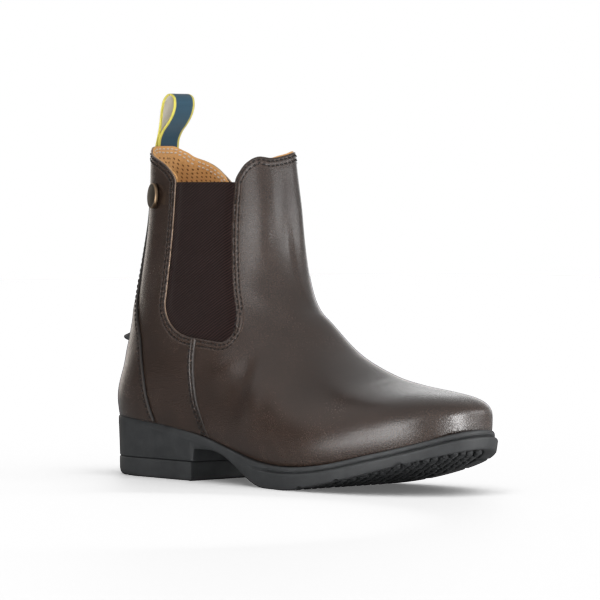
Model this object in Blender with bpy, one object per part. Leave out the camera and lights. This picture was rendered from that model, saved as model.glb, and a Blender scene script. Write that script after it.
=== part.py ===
"""Jodhpur boot for the right foot: a brown leather ankle boot with elastic gores on a moulded sole.

Sizes and tables are in millimetres. A point is measured along from the back of the heel, across from
the centre line (the outer side is negative) and up from the floor. Meshes are in metres, with the
origin on the floor under the middle of the sole.
"""

import bmesh
import bpy
import numpy as np

# Driving dimensions
SOLE_LENGTH = 282.0
BALL_WIDTH = 92.0
HEEL_HEIGHT = 34.7
INSTEP_HEIGHT = 118.0
COLLAR_HEIGHT = 192.3
GORE_TOP = 171.3

# Materials and clearances
LEATHER = 2.0
OVERLAY = 1.1
ELASTIC = 1.3
RIBBON = 1.2
BOARD = 3.0
GAP = 0.3
OVERLAY_GAP = 0.5
GORE_SUNK = 0.4
FOOT_CLEAR = 0.4
METRE = 0.001


class Table:
    """Rows under named columns, read between the rows by a smooth curve. Each column has its unit."""

    def __init__(self, columns, rows):
        self.names = list(columns)
        self.rows = np.array(rows, float) * np.array(list(columns.values()), float)

    def read(self, name, at):
        """Cubic Hermite curve through the column, with slopes taken from the neighbouring rows."""
        places = self.rows[:, 0]
        values = self.rows[:, self.names.index(name)]
        spans = np.diff(places)
        slopes = np.diff(values) / spans
        inner = (slopes[:-1] * spans[1:] + slopes[1:] * spans[:-1]) / (spans[1:] + spans[:-1])
        tangents = np.concatenate([slopes[:1], inner, slopes[-1:]])
        i = np.clip(np.searchsorted(places, at) - 1, 0, len(spans) - 1)
        t = np.clip((at - places[i]) / spans[i], 0, 1)
        start = (1 + 2 * t) * (1 - t) ** 2 * values[i] + t * (1 - t) ** 2 * spans[i] * tangents[i]
        end = t**2 * (3 - 2 * t) * values[i + 1] - t**2 * (1 - t) * spans[i] * tangents[i + 1]
        return start + end


# The feather line, where the upper meets the sole
FEATHER = Table(
    {"along": SOLE_LENGTH, "height": HEEL_HEIGHT},
    [
        (0.00, 1.000),
        (0.10, 0.985),
        (0.22, 0.893),
        (0.32, 0.775),
        (0.42, 0.585),
        (0.52, 0.420),
        (0.62, 0.378),
        (0.72, 0.452),
        (0.82, 0.623),
        (0.92, 0.830),
        (1.00, 1.050),
    ],
)

# Upright sections of the foot: half widths, where its ridge lies across, its top, and its squareness
FOOT = Table(
    {
        "along": SOLE_LENGTH,
        "outer": BALL_WIDTH,
        "inner": BALL_WIDTH,
        "ridge": BALL_WIDTH,
        "top": INSTEP_HEIGHT,
        "widest": 1,
        "square": 1,
    },
    [
        (0.05, 0.310, 0.304, 0.000, 0.534, 8, 2.20),
        (0.25, 0.360, 0.337, 0.000, 0.788, 10, 2.20),
        (0.42, 0.402, 0.343, 0.022, 1.000, 12, 2.10),
        (0.52, 0.446, 0.370, 0.043, 0.812, 12, 2.10),
        (0.62, 0.484, 0.424, 0.065, 0.620, 12, 2.15),
        (0.70, 0.489, 0.457, 0.087, 0.528, 12, 2.20),
        (0.78, 0.457, 0.451, 0.087, 0.493, 12, 2.30),
        (0.87, 0.397, 0.408, 0.087, 0.484, 11, 2.40),
        (1.00, 0.326, 0.359, 0.076, 0.483, 10, 2.40),
    ],
)
TUCK = 0.05
TOE_CAP, TOE_TIP, TOE_POWER = 0.84 * SOLE_LENGTH, 0.972 * SOLE_LENGTH, 2.4
HEEL_CAP, HEEL_END = 40.0, 34.0

# Level sections of the shaft, by height: its ends, half widths and squareness. It stands empty and
# slack, so its sides are nearly flat towards the collar
SHAFT = Table(
    {"height": 1, "back": 1, "front": 1, "outer": BALL_WIDTH, "inner": BALL_WIDTH, "square": 1},
    [
        (25, 8.5, 100.0, 0.337, 0.337, 2.35),
        (45, 4.2, 107.3, 0.364, 0.359, 2.35),
        (65, 4.6, 115.8, 0.380, 0.370, 2.35),
        (85, 9.6, 121.4, 0.364, 0.359, 2.45),
        (110, 14.8, 127.3, 0.321, 0.321, 2.80),
        (150, 22.8, 127.7, 0.272, 0.272, 3.30),
        (190, 24.8, 122.0, 0.234, 0.234, 4.00),
        (215, 25.0, 121.0, 0.234, 0.234, 4.00),
    ],
)
SHAFT_REACH = 38.0
INSTEP_BLEND = 16.0

# Rings of the upper, from the feather line to the collar: how far each is lifted at the back and at the
# waist, and where it crosses the front
RINGS = Table(
    {"share": 1, "back_lift": 1, "waist_lift": 1, "front": SOLE_LENGTH, "front_height": 1},
    [
        (0.00, 0, 0, 1.00, 36.4),
        (0.07, 9, 6, 0.99, 42.5),
        (0.14, 18, 13, 0.97, 50.0),
        (0.20, 26, 19, 0.93, 55.0),
        (0.28, 36, 27, 0.86, 57.0),
        (0.36, 46, 36, 0.78, 58.5),
        (0.44, 57, 46, 0.70, 63.0),
        (0.52, 69, 58, 0.62, 75.0),
        (0.60, 82, 76, 0.54, 93.0),
        (0.68, 97, 96, 0.48, 113.0),
        (0.78, 120, 123, 0.45, 140.0),
        (1.00, 165, 184, 0.44, 198.0),
    ],
)
WAIST = 0.55 * SOLE_LENGTH
FRONT_BEND, FEATHER_FOLLOW = 6, 0.6
RING_ROWS, RING_POINTS = 27, 52
FAN_BACK, FAN_FRONT, FAN_INSET, FAN_CLIMB = 0.28, 0.68, 46, 12

# The sole's plan, by half widths
SOLE = Table(
    {"along": SOLE_LENGTH, "outer": BALL_WIDTH, "inner": BALL_WIDTH},
    [
        (0.00, 0.363, 0.337),
        (0.12, 0.346, 0.342),
        (0.25, 0.366, 0.337),
        (0.40, 0.391, 0.337),
        (0.52, 0.457, 0.370),
        (0.62, 0.508, 0.440),
        (0.72, 0.508, 0.484),
        (0.82, 0.470, 0.455),
        (1.00, 0.375, 0.345),
    ],
)
HEEL_ROUND, HEEL_POWER = 0.13 * SOLE_LENGTH, 2.39
TOE_ROUND, TOE_ROUND_POWER = 0.80 * SOLE_LENGTH, 2.2
TOE_SWING, SWING_START, SWING_POWER = 4.6, 0.6 * SOLE_LENGTH, 1.5
BREAST, LIFT_HEIGHT, BREAST_STEP = 85.0, 10.8, 0.8
HEEL_BEVEL, WALL_BEVEL, WALL_DROP = 0.7, 1.8, 5.4
ARCH_HEIGHT, ARCH_START, ARCH_END = 18.4, 98.0, 155.5
SPRING_START = 0.617 * SOLE_LENGTH
TOE_SPRING, SPRING_POWER = 25.5, 1.33
BEAD_START, BEAD_FULL, GROOVE_DEPTH = 0.44 * SOLE_LENGTH, 0.54 * SOLE_LENGTH, 1.1
TREAD_START, TREAD_FULL, TREAD_DEPTH, RIM_WIDTH = 0.60 * SOLE_LENGTH, 0.62 * SOLE_LENGTH, 1.5, 6.0

# Each gore's outline in side view
GORE = Table(
    {"height": 1, "rear": 1, "front": 1},
    [
        (78, 57.3, 119.6),
        (95, 57.3, 118.2),
        (108, 57.4, 113.9),
        (127, 57.8, 109.4),
        (150, 58.2, 108.2),
        (172, 57.8, 108.4),
    ],
)
GORE_FOOT, GORE_SLANT = 85.6, 6.4
REAR_CORNER, REAR_CORNER_RISE = 0.42, 18.0
FRONT_CORNER, FRONT_CORNER_RISE = 0.13, 10.0

# The collar line in side view, behind and in front of the gores
COLLAR_BACK = Table(
    {"along": 1, "drop": 1},
    [
        (20, 0.0),
        (25, 0.0),
        (26.5, 0.9),
        (29, 3.4),
        (32.3, 5.2),
        (36, 6.6),
        (44.7, 9.8),
        (50.4, 13.0),
        (54.5, 16.4),
        (56.8, 19.2),
        (57.6, 21.0),
    ],
)
COLLAR_FRONT = Table(
    {"along": 1, "drop": 1},
    [(108.2, 21.0), (109.4, 15.7), (114.1, 10.2), (118.1, 7.4), (120.8, 6.6), (122.6, 7.6), (130, 7.8)],
)

# The back-stay and counter: how far it wraps round the back, in degrees each way
COUNTER = Table(
    {"height": 1, "wrap": np.pi / 180},
    [
        (30, 84.0),
        (41, 76.3),
        (49, 72.0),
        (62, 66.9),
        (70, 62.2),
        (80, 54.9),
        (93, 42.0),
        (103, 33.0),
        (119, 27.5),
        (137, 25.0),
        (190, 16.0),
    ],
)
BACK_AXIS = 60.0

# The raised side seam, down from the gore
SEAM = Table(
    {"height": 1, "along": 1},
    [(20, 99.0), (26, 96.4), (33, 93.5), (44, 89.1), (56, 87.4), (70, 86.3), (84, 86.9)],
)
SEAM_WIDTH, SEAM_PROUD, SEAM_TOP, SEAM_FOOT = 5.4, 0.9, 82.0, 95.0

SPUR_HEIGHT, SPUR_WRAP, SPUR_PROUD = 81.0, 27.0, 4.0
STUD_PLACE, STUD_RADIUS, STUD_HEIGHT = (38.0, 163.2), 7.5, 2.2

# The pull loop's path in side view, from the outer leg's end over the top to the inner leg's end
LOOP_PATH = [
    (20.0, 177.0),
    (20.3, 184.0),
    (21.0, 191.0),
    (25.0, 199.5),
    (28.6, 207.0),
    (30.4, 214.0),
    (34.0, 219.6),
    (39.0, 220.6),
    (42.9, 217.2),
    (42.6, 211.0),
    (37.4, 204.6),
    (30.4, 199.9),
    (24.8, 196.6),
    (22.1, 191.8),
    (21.9, 184.0),
    (21.6, 177.0),
]
LOOP_WIDTH = 13.0


def smoothstep(low, high, value):
    t = np.clip((value - low) / (high - low), 0, 1)
    return t * t * (3 - 2 * t)


def feather(along):
    return FEATHER.read("height", np.clip(along, 0, SOLE_LENGTH))


def foot_level(along, across, height):
    """Below zero inside the foot: rounded upright sections, closed by a rounded toe and heel."""
    outer, inner, ridge, top, widest, square = (
        FOOT.read(name, along) for name in ("outer", "inner", "ridge", "top", "widest", "square")
    )
    shoulder = feather(along) + widest
    half = np.where(across < ridge, outer + ridge, inner - ridge)
    half = half * (1 - TUCK * np.clip((shoulder - height) / widest, 0, 2) ** 2)
    side = np.abs(across - ridge) / half
    crown = np.clip(height - shoulder, 0, None) / (top - shoulder)
    girth = (side**square + crown**square) ** (1 / square)
    toe = np.clip(along - TOE_CAP, 0, None) / (TOE_TIP - TOE_CAP)
    heel = np.clip(HEEL_CAP - along, 0, None) / HEEL_END
    rounded = (girth**TOE_POWER + toe**TOE_POWER + heel**TOE_POWER) ** (1 / TOE_POWER)
    return (rounded - 1) * np.minimum(half, HEEL_CAP)


def shaft_level(along, across, height):
    """Below zero inside the shaft: level sections between an ellipse and a rounded rectangle."""
    back, front, outer, inner, square = (
        SHAFT.read(name, height) for name in ("back", "front", "outer", "inner", "square")
    )
    run = np.abs(along - (back + front) / 2) / ((front - back) / 2)
    side = np.abs(across) / np.where(across < 0, outer, inner)
    return ((run**square + side**square) ** (1 / square) - 1) * SHAFT_REACH


def upper_level(points):
    """Foot and shaft joined with a soft blend at the instep. The leather's outside is where it is zero."""
    along, across, height = points[..., 0], points[..., 1], points[..., 2]
    foot = foot_level(along, across, height)
    shaft = shaft_level(along, across, height)
    share = np.clip(0.5 + 0.5 * (shaft - foot) / INSTEP_BLEND, 0, 1)
    return shaft + (foot - shaft) * share - INSTEP_BLEND * share * (1 - share)


def normals(points, step=0.25):
    """Unit normals of the upper, from central differences of its level."""
    offsets = np.eye(3) * step
    slope = [upper_level(points + offset) - upper_level(points - offset) for offset in offsets]
    slope = np.stack(slope, -1)
    return slope / np.linalg.norm(slope, axis=-1, keepdims=True)


def meet(path, reach=150.0, halvings=36):
    """Points where a path, given as a function of the distance gone, leaves the upper."""
    near = np.zeros(path(0.0).shape[:-1])
    far = np.full_like(near, reach)
    for _ in range(halvings):
        middle = (near + far) / 2
        outside = upper_level(path(middle[..., None])) > 0
        far = np.where(outside, middle, far)
        near = np.where(outside, near, middle)
    return path(near[..., None])


def offset_skin(points, distance):
    """The upper's points moved out by a distance along their normals."""
    return points + normals(points) * np.expand_dims(distance, -1)


def ring_height(share, along):
    """Height of a ring of the upper: it follows the feather line low down and rises to cross the front."""
    heel, waist = feather(0.0), feather(WAIST)
    back = heel + RINGS.read("back_lift", share)
    middle = waist + RINGS.read("waist_lift", share)
    follow = np.clip(1 - share / FEATHER_FOLLOW, 0, 1) ** 2

    def side(place):
        level = back + (middle - back) * place / WAIST
        return level + follow * (feather(place) - heel - (waist - heel) * place / WAIST)

    front = RINGS.read("front", share)
    rise = RINGS.read("front_height", share) - side(front)
    return side(along) + rise * np.clip(along / front, 0, None) ** FRONT_BEND


def closed_ring(height_at, fan_front, fan_back):
    """Rings round the upper: fans of rays at the back and front, and parallel rays along both sides."""
    step = np.arange(RING_POINTS // 2 + 1) / (RING_POINTS // 2)
    turn = np.interp(step, [0, FAN_BACK, FAN_FRONT, 1], [np.pi, np.pi / 2, np.pi / 2, 0])
    run = np.clip((step - FAN_BACK) / (FAN_FRONT - FAN_BACK), 0, 1)
    start = fan_back + (fan_front - fan_back) * run
    ridge = FOOT.read("ridge", start)
    halves = []
    for side in (-1, 1):

        def path(distance, side=side):
            distance = np.asarray(distance)
            distance = distance[..., 0] if distance.ndim else distance
            along = start + distance * np.cos(turn)
            across = ridge + side * distance * np.sin(turn)
            return np.stack([along, across, height_at(along)], -1)

        halves.append(meet(path))
    return np.concatenate([halves[0], halves[1][..., -2:0:-1, :]], axis=-2)


def upper_grid():
    """The leather's outside as rings of points, from the feather line to above the collar."""
    share = np.linspace(0, 1, RING_ROWS)[:, None]
    fan_back = HEEL_CAP + FAN_CLIMB * share
    fan_front = np.maximum(RINGS.read("front", share) - FAN_INSET, fan_back + FAN_CLIMB)
    return closed_ring(lambda along: ring_height(share, along), fan_front, fan_back)


def grid_faces(rows, columns, first=0, wrap_rows=False, wrap_columns=False):
    """Four-sided faces between neighbouring rows and columns of a grid of points."""
    down = np.arange(rows if wrap_rows else rows - 1)[:, None]
    over = np.arange(columns if wrap_columns else columns - 1)[None]
    corners = [(down, over), (down, over + 1), (down + 1, over + 1), (down + 1, over)]
    index = [first + (r % rows) * columns + c % columns for r, c in corners]
    return np.stack(index, -1).reshape(-1, 4).tolist()


def ladder_faces(count, first=0):
    """Faces across a closed loop that starts at its back, from each point to its partner opposite."""
    faces = [(first, first + 1, first + count - 1)]
    for i in range(1, count // 2):
        left, right = i + 1, count - i - 1
        if left > right:
            break
        corners = [i, left, right, count - i] if left < right else [i, left, count - i]
        faces.append(tuple(first + c for c in corners))
    return faces


def add_object(name, points, faces, material):
    """A smooth closed mesh from points in millimetres, faces turned outwards."""
    points = np.asarray(points, float).reshape(-1, 3)
    centre = np.array([SOLE_LENGTH / 2, SOLE_MIDDLE, 0.0])
    mesh = bpy.data.meshes.new(name)
    mesh.from_pydata(((points - centre) * METRE).tolist(), [], faces)
    shape = bmesh.new()
    shape.from_mesh(mesh)
    bmesh.ops.recalc_face_normals(shape, faces=shape.faces)
    shape.to_mesh(mesh)
    shape.free()
    mesh.materials.append(material)
    mesh.shade_smooth()
    mesh.set_sharp_from_angle(angle=np.radians(40))
    piece = bpy.data.objects.new(name, mesh)
    bpy.context.collection.objects.link(piece)
    return piece


def add_tube(name, rings, material):
    """A body from rings that follow each other and close on themselves, like a bent tyre."""
    rows, columns = rings.shape[:2]
    return add_object(name, rings, grid_faces(rows, columns, 0, True, True), material)


def add_loops(name, loops, material):
    """A body from closed loops stacked on each other, with its first and last loops filled across."""
    rows, columns = loops.shape[:2]
    faces = grid_faces(rows, columns, wrap_columns=True)
    faces += ladder_faces(columns) + ladder_faces(columns, (rows - 1) * columns)
    return add_object(name, loops, faces, material)


def add_panel(name, skin, inside, outside, material):
    """A panel between two offsets of a patch of the upper, with its four edges closed."""
    rows, columns = skin.shape[:2]
    outer = offset_skin(skin, np.broadcast_to(outside, (rows, columns)))
    inner = offset_skin(skin, np.broadcast_to(inside, (rows, columns)))
    count = rows * columns
    faces = grid_faces(rows, columns) + grid_faces(rows, columns, count)
    index = np.arange(count).reshape(rows, columns)
    border = np.concatenate([index[0, :-1], index[:-1, -1], index[-1, :0:-1], index[:0:-1, 0]])
    for a, b in zip(border, np.roll(border, -1)):
        faces.append((int(a), int(b), int(b) + count, int(a) + count))
    return add_object(name, np.concatenate([outer, inner]), faces, material)


def add_prism(name, outline, low, high):
    """A hidden cutter: an outline in side view, carried straight across the boot."""
    outline = np.asarray(outline)
    count = len(outline)
    near = np.column_stack([outline[:, 0], np.full(count, low), outline[:, 1]])
    far = np.column_stack([outline[:, 0], np.full(count, high), outline[:, 1]])
    faces = grid_faces(2, count, wrap_columns=True)
    faces += [tuple(range(count)), tuple(range(count, 2 * count))]
    cutter = add_object(name, np.concatenate([near, far]), faces, MATERIALS["leather"])
    cutter.hide_render = True
    cutter.display_type = "WIRE"
    return cutter


def make_material(name, colour, roughness, metallic=0.0):
    material = bpy.data.materials.new(name)
    material.use_nodes = True
    shader = material.node_tree.nodes["Principled BSDF"]
    shader.inputs["Base Color"].default_value = (*colour, 1.0)
    shader.inputs["Roughness"].default_value = roughness
    shader.inputs["Metallic"].default_value = metallic
    return material


def sole_edge(along, side):
    """The sole's edge across, on the outer (-1) or inner (1) side, with round ends."""
    half = SOLE.read("outer" if side < 0 else "inner", along)
    heel = np.clip((HEEL_ROUND - along) / HEEL_ROUND, 0, 1)
    toe = np.clip((along - TOE_ROUND) / (SOLE_LENGTH - TOE_ROUND), 0, 1)
    half = half * (1 - heel**HEEL_POWER) ** (1 / HEEL_POWER)
    half = half * (1 - toe**TOE_ROUND_POWER) ** (1 / TOE_ROUND_POWER)
    swing = np.clip((along - SWING_START) / (SOLE_LENGTH - SWING_START), 0, 1) ** SWING_POWER
    return TOE_SWING * swing + side * half


def sole_stations():
    """Places along the sole: close together round the heel and toe, with a pair at the heel breast."""
    heel = HEEL_ROUND * (1 - np.cos(np.linspace(0, np.pi / 2, 8)))
    back = np.linspace(HEEL_ROUND, BREAST, 5)[1:]
    middle = np.linspace(BREAST + BREAST_STEP, TOE_ROUND, 13)
    toe = TOE_ROUND + (SOLE_LENGTH - TOE_ROUND) * np.sin(np.linspace(0, np.pi / 2, 10))[1:]
    return np.concatenate([heel, back, middle, toe])


def plan_loop(stations):
    """The sole's plan from the back of the heel along the outer side and back along the inner side."""
    outer = np.stack([stations, sole_edge(stations, -1)], -1)
    inner = np.stack([stations, sole_edge(stations, 1)], -1)
    closes = np.isclose(outer[-1, 1], inner[-1, 1])
    return np.concatenate([outer, inner[-2 if closes else -1 : 0 : -1]])


def inset(loop, distance):
    """A plan loop moved inwards by a distance, along the normals of its edge."""
    run = np.roll(loop, -1, 0) - np.roll(loop, 1, 0)
    inward = np.stack([-run[:, 1], run[:, 0]], -1) / np.linalg.norm(run, axis=1, keepdims=True)
    return loop + inward * np.expand_dims(distance, -1)


def sole_under(along):
    """The outsole's underside: level over the lift, an arched waist, a flat ball and the toe spring."""
    waist = smoothstep(ARCH_END, ARCH_START, along)
    spring = np.clip((along - SPRING_START) / (SOLE_LENGTH - SPRING_START), 0, 1)
    under = ARCH_HEIGHT * waist + TOE_SPRING * spring**SPRING_POWER
    return np.where(along < BREAST + BREAST_STEP / 2, LIFT_HEIGHT + GAP, under)


def make_outsole():
    """The moulded unit, from its top edge down the bead, groove and wall to the rim and tread field."""
    loop = plan_loop(sole_stations())
    along = loop[:, 0]
    top, under = feather(along) - GAP, sole_under(along)
    groove = GROOVE_DEPTH * smoothstep(BEAD_START, BEAD_FULL, along)
    tread = TREAD_DEPTH * smoothstep(TREAD_START, TREAD_FULL, along)
    foot = np.where(along <= BREAST, HEEL_BEVEL, WALL_BEVEL)
    # the wall is thinner at the waist, so its levels lie closer there
    close = np.clip((top - under - foot) / WALL_DROP, 0, 1)
    # inset of each level, and its height
    levels = [
        (0.9, top),
        (0.0, top - 1.2 * close),
        (0.0, top - 2.8 * close),
        (groove, top - 3.8 * close),
        (0.2, top - 4.8 * close),
        (0.7, under + foot),
        (0.7 + foot, under),
        (0.7 + foot + RIM_WIDTH, under),
        (1.4 + foot + RIM_WIDTH, under + tread),
    ]
    loops = [np.column_stack([inset(loop, distance), height]) for distance, height in levels]
    return add_loops("outsole", np.stack(loops), MATERIALS["rubber"])


def make_heel_top_piece():
    """The lift below the heel block, with a small bevel at its foot."""
    stations = sole_stations()
    loop = plan_loop(stations[stations <= BREAST])
    levels = [(1.4, LIFT_HEIGHT), (0.6, LIFT_HEIGHT - 0.8), (0.7, 1.2), (1.6, 0.0)]
    loops = []
    for distance, height in levels:
        flat = inset(loop, distance)
        flat[:, 0] = np.minimum(flat[:, 0], BREAST)
        loops.append(np.column_stack([flat, np.full(len(flat), height)]))
    return add_loops("heel_top_piece", np.stack(loops), MATERIALS["rubber"])


def make_insole():
    """The board inside the upper, following the feather line."""
    loops = []
    for lift in (BOARD, 0.0):

        def level(along, lift=lift):
            return feather(along) + lift

        ring = closed_ring(level, SOLE_LENGTH - FAN_INSET, HEEL_CAP)
        flat = normals(ring) * [1, 1, 0]
        flat /= np.linalg.norm(flat, axis=-1, keepdims=True)
        loops.append(ring - flat * (LEATHER + 2 * GAP))
    return add_loops("insole", np.stack(loops), MATERIALS["lining"])


def gore_outline(margin=0.0):
    """The gore's foot in side view, from its rear edge to its front edge, as shares, places and heights."""
    share = 0.5 - 0.5 * np.cos(np.linspace(0, np.pi, 17))
    rear_turn = np.clip(1 - share / REAR_CORNER, 0, 1)
    front_turn = np.clip(1 - (1 - share) / FRONT_CORNER, 0, 1)
    foot = GORE_FOOT - GORE_SLANT * share - margin
    foot = foot + REAR_CORNER_RISE * (1 - np.sqrt(1 - rear_turn**2))
    foot = foot + FRONT_CORNER_RISE * (1 - np.sqrt(1 - front_turn**2))
    return share, foot


def gore_along(share, height, margin=0.0):
    rear = GORE.read("rear", height) - margin
    front = GORE.read("front", height) + margin
    return rear + (front - rear) * share


def side_skin(along, height, side):
    """Points of the upper's side, met by rays straight out from the centre line."""

    def path(distance):
        across = side * np.asarray(distance)
        across = across[..., 0] if across.ndim else np.full(along.shape, across)
        return np.stack([along, across, height], -1)

    return meet(path, reach=70.0)


def back_skin(angle, height):
    """Points of the upper's back, met by level rays turned from straight back to either side."""

    def path(distance):
        distance = np.asarray(distance)
        distance = distance[..., 0] if distance.ndim else distance
        along = BACK_AXIS - distance * np.cos(angle)
        return np.stack([along, distance * np.sin(angle), height + 0 * along], -1)

    return meet(path, reach=90.0)


def make_upper():
    """Vamp, quarters and shaft as one leather wall, cut along the collar and round both gores."""
    outer = upper_grid()
    inner = offset_skin(outer, np.full(outer.shape[:2], -LEATHER))
    upper = add_tube("upper", np.concatenate([outer, inner[::-1]]), MATERIALS["leather"])
    share, foot = gore_outline(GAP)
    gore_foot = np.column_stack([gore_along(share, foot, GAP), foot])
    climb = np.linspace(0, 1, 9)[1:, None]
    rear_rise = foot[0] + (GORE_TOP - foot[0]) * climb
    front_rise = foot[-1] + (GORE_TOP - foot[-1]) * climb
    rear_edge = np.hstack([gore_along(0.0, rear_rise, GAP), rear_rise])
    front_edge = np.hstack([gore_along(1.0, front_rise, GAP), front_rise])
    back = np.linspace(22, COLLAR_BACK.rows[-1, 0] - 0.2, 21)
    front = np.linspace(COLLAR_FRONT.rows[0, 0] + 0.5, 124, 11)
    back_line = np.column_stack([back, COLLAR_HEIGHT - COLLAR_BACK.read("drop", back)])
    front_line = np.column_stack([front, COLLAR_HEIGHT - COLLAR_FRONT.read("drop", front)])
    behind, ahead, above = -20.0, 160.0, COLLAR_HEIGHT + 40
    ends = [(ahead, front_line[-1, 1]), (ahead, above), (behind, above), (behind, COLLAR_HEIGHT)]
    outline = np.concatenate([back_line, rear_edge[::-1], gore_foot, front_edge, front_line, ends])
    cut = upper.modifiers.new("collar and gores", "BOOLEAN")
    cut.operation = "DIFFERENCE"
    cut.object = add_prism("collar_cutter", outline, -BALL_WIDTH, BALL_WIDTH)
    return upper


def make_gore(name, side):
    """The elastic panel, set a little below the leather's outside."""
    share, foot = gore_outline()
    rise = np.linspace(0, 1, 11)[:, None]
    height = foot + (GORE_TOP - foot) * rise
    skin = side_skin(gore_along(share[None], height), height, side)
    return add_panel(name, skin, -GORE_SUNK - ELASTIC, -GORE_SUNK, MATERIALS["elastic"])


def make_heel_counter():
    """The leather laid over the back, broad at the heel and narrow up to the collar."""
    rise = np.linspace(0, 1, 24)[:, None] ** 1.2
    low, high = feather(0.0), COLLAR_HEIGHT - 1.6
    nominal = low + (high - low) * rise
    angle = COUNTER.read("wrap", nominal) * np.linspace(-1, 1, 21)[None]
    along = back_skin(angle, nominal)[..., 0]
    foot = feather(along) + FOOT_CLEAR
    skin = back_skin(angle, foot + (high - foot) * rise)
    return add_panel("heel_counter", skin, OVERLAY_GAP, OVERLAY_GAP + OVERLAY, MATERIALS["leather"])


def make_side_seam(name, side):
    """The raised seam from the gore's foot down to the sole."""
    rise = np.linspace(0, 1, 19)[:, None]
    across = np.linspace(-1, 1, 5)[None]
    low = feather(SEAM_FOOT)
    along = SEAM.read("along", low + (SEAM_TOP - low) * rise) + across * SEAM_WIDTH / 2
    foot = feather(along) + FOOT_CLEAR
    head = np.interp(along, gore_along(*gore_outline()), gore_outline()[1]) - 3 * GAP
    skin = side_skin(along, foot + (head - foot) * rise, side)
    proud = OVERLAY_GAP + SEAM_PROUD * (1 - 0.6 * across**2) + 0 * rise
    return add_panel(name, skin, OVERLAY_GAP, proud, MATERIALS["leather"])


def make_spur_rest():
    """A small ledge across the back, carried on the counter."""
    base = OVERLAY_GAP + OVERLAY + GAP
    wrap = np.radians(SPUR_WRAP) * np.linspace(-1, 1, 15)
    fade = np.sqrt(np.clip(1 - np.linspace(-1, 1, 15) ** 2, 0.02, 1))
    # how far each corner of the section stands out, as a share, and its height
    section = [(0.0, 3.2), (0.45, 2.2), (1.0, -0.4), (0.95, -2.0), (0.0, -2.4)]
    corners = []
    for out, lift in section:
        skin = back_skin(wrap, np.full_like(wrap, SPUR_HEIGHT + lift))
        corners.append(offset_skin(skin, base + SPUR_PROUD * out * fade))
    rings = np.stack(corners, 1)
    rows, columns = rings.shape[:2]
    faces = grid_faces(rows, columns, wrap_columns=True)
    faces += [tuple(range(columns)), tuple(range((rows - 1) * columns, rows * columns))]
    return add_object("spur_rest", rings, faces, MATERIALS["rubber"])


def make_press_stud():
    """A domed cap with a rim, turned about the leather's normal."""
    along, height = (np.array([[value]]) for value in STUD_PLACE)
    seat = side_skin(along, height, -1)
    axis = normals(seat)[0, 0]
    level = np.cross([0, 0, 1], axis)
    level /= np.linalg.norm(level)
    rise = np.cross(axis, level)
    # share of the radius, and height above the leather
    profile = [(0.55, 0.1), (0.96, 0.1), (1.0, 0.6), (0.97, 1.3)]
    profile += [(0.84, 1.5), (0.8, 1.3), (0.55, 1.9), (0.2, 2.2)]
    turn = np.linspace(0, 2 * np.pi, 24, endpoint=False)
    spokes = np.outer(np.cos(turn), level) + np.outer(np.sin(turn), rise)
    lift = STUD_HEIGHT / profile[-1][1]
    rings = [seat[0, 0] + STUD_RADIUS * r * spokes + (GAP + lift * h) * axis for r, h in profile]
    rings = np.stack(rings)
    rows, columns = rings.shape[:2]
    faces = grid_faces(rows, columns, wrap_columns=True)
    faces += [tuple(range(columns)), tuple(range((rows - 1) * columns, rows * columns))]
    return add_object("press_stud", rings, faces, MATERIALS["brass"])


def make_pull_loop():
    """A ribbon standing in a loop over the back collar, with both legs sewn down outside it."""
    points = np.array(LOOP_PATH)
    gone = np.concatenate([[0], np.cumsum(np.linalg.norm(np.diff(points, axis=0), axis=1))])
    path = Table({"gone": 1, "along": 1, "height": 1}, np.column_stack([gone, points]))
    at = np.linspace(0, gone[-1], 33)
    line = np.stack([path.read("along", at), path.read("height", at)], -1)
    run = np.gradient(line, axis=0)
    side = np.stack([-run[:, 1], run[:, 0]], -1) / np.linalg.norm(run, axis=1, keepdims=True)
    rings = []
    for out, across in ((0.5, -0.5), (0.5, 0.5), (-0.5, 0.5), (-0.5, -0.5)):
        edge = line + side * RIBBON * out
        rings.append(np.stack([edge[:, 0], np.full(len(at), across * LOOP_WIDTH), edge[:, 1]], -1))
    rings = np.stack(rings, 1)
    rows, columns = rings.shape[:2]
    faces = grid_faces(rows, columns, wrap_columns=True)
    faces += [tuple(range(columns)), tuple(range((rows - 1) * columns, rows * columns))]
    return add_object("pull_loop", rings, faces, MATERIALS["ribbon"])


for old in list(bpy.data.objects):
    bpy.data.objects.remove(old, do_unlink=True)

MATERIALS = {
    "leather": make_material("leather", (0.045, 0.026, 0.02), 0.42),
    "rubber": make_material("rubber", (0.012, 0.012, 0.013), 0.6),
    "elastic": make_material("elastic", (0.03, 0.016, 0.014), 0.85),
    "lining": make_material("lining", (0.52, 0.27, 0.09), 0.7),
    "brass": make_material("brass", (0.2, 0.14, 0.08), 0.4, 0.9),
    "ribbon": make_material("ribbon", (0.02, 0.07, 0.12), 0.8),
}
EDGES = plan_loop(sole_stations())[:, 1]
SOLE_MIDDLE = (EDGES.min() + EDGES.max()) / 2

make_outsole()
make_heel_top_piece()
make_insole()
make_upper()
make_gore("gore_outer", -1)
make_gore("gore_inner", 1)
make_heel_counter()
make_side_seam("side_seam_outer", -1)
make_side_seam("side_seam_inner", 1)
make_spur_rest()
make_press_stud()
make_pull_loop()
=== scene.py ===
# %% [markdown]
# # A jodhpur boot
#
# This lesson dresses a jodhpur boot: an ankle riding boot with elastic sides. The solids that the boot
# is made of come first, as a frame that never moves. Every piece made here lies on that frame, in
# metres, with the toe along +X, the outer side of the foot along -Y and the floor at zero.

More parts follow.
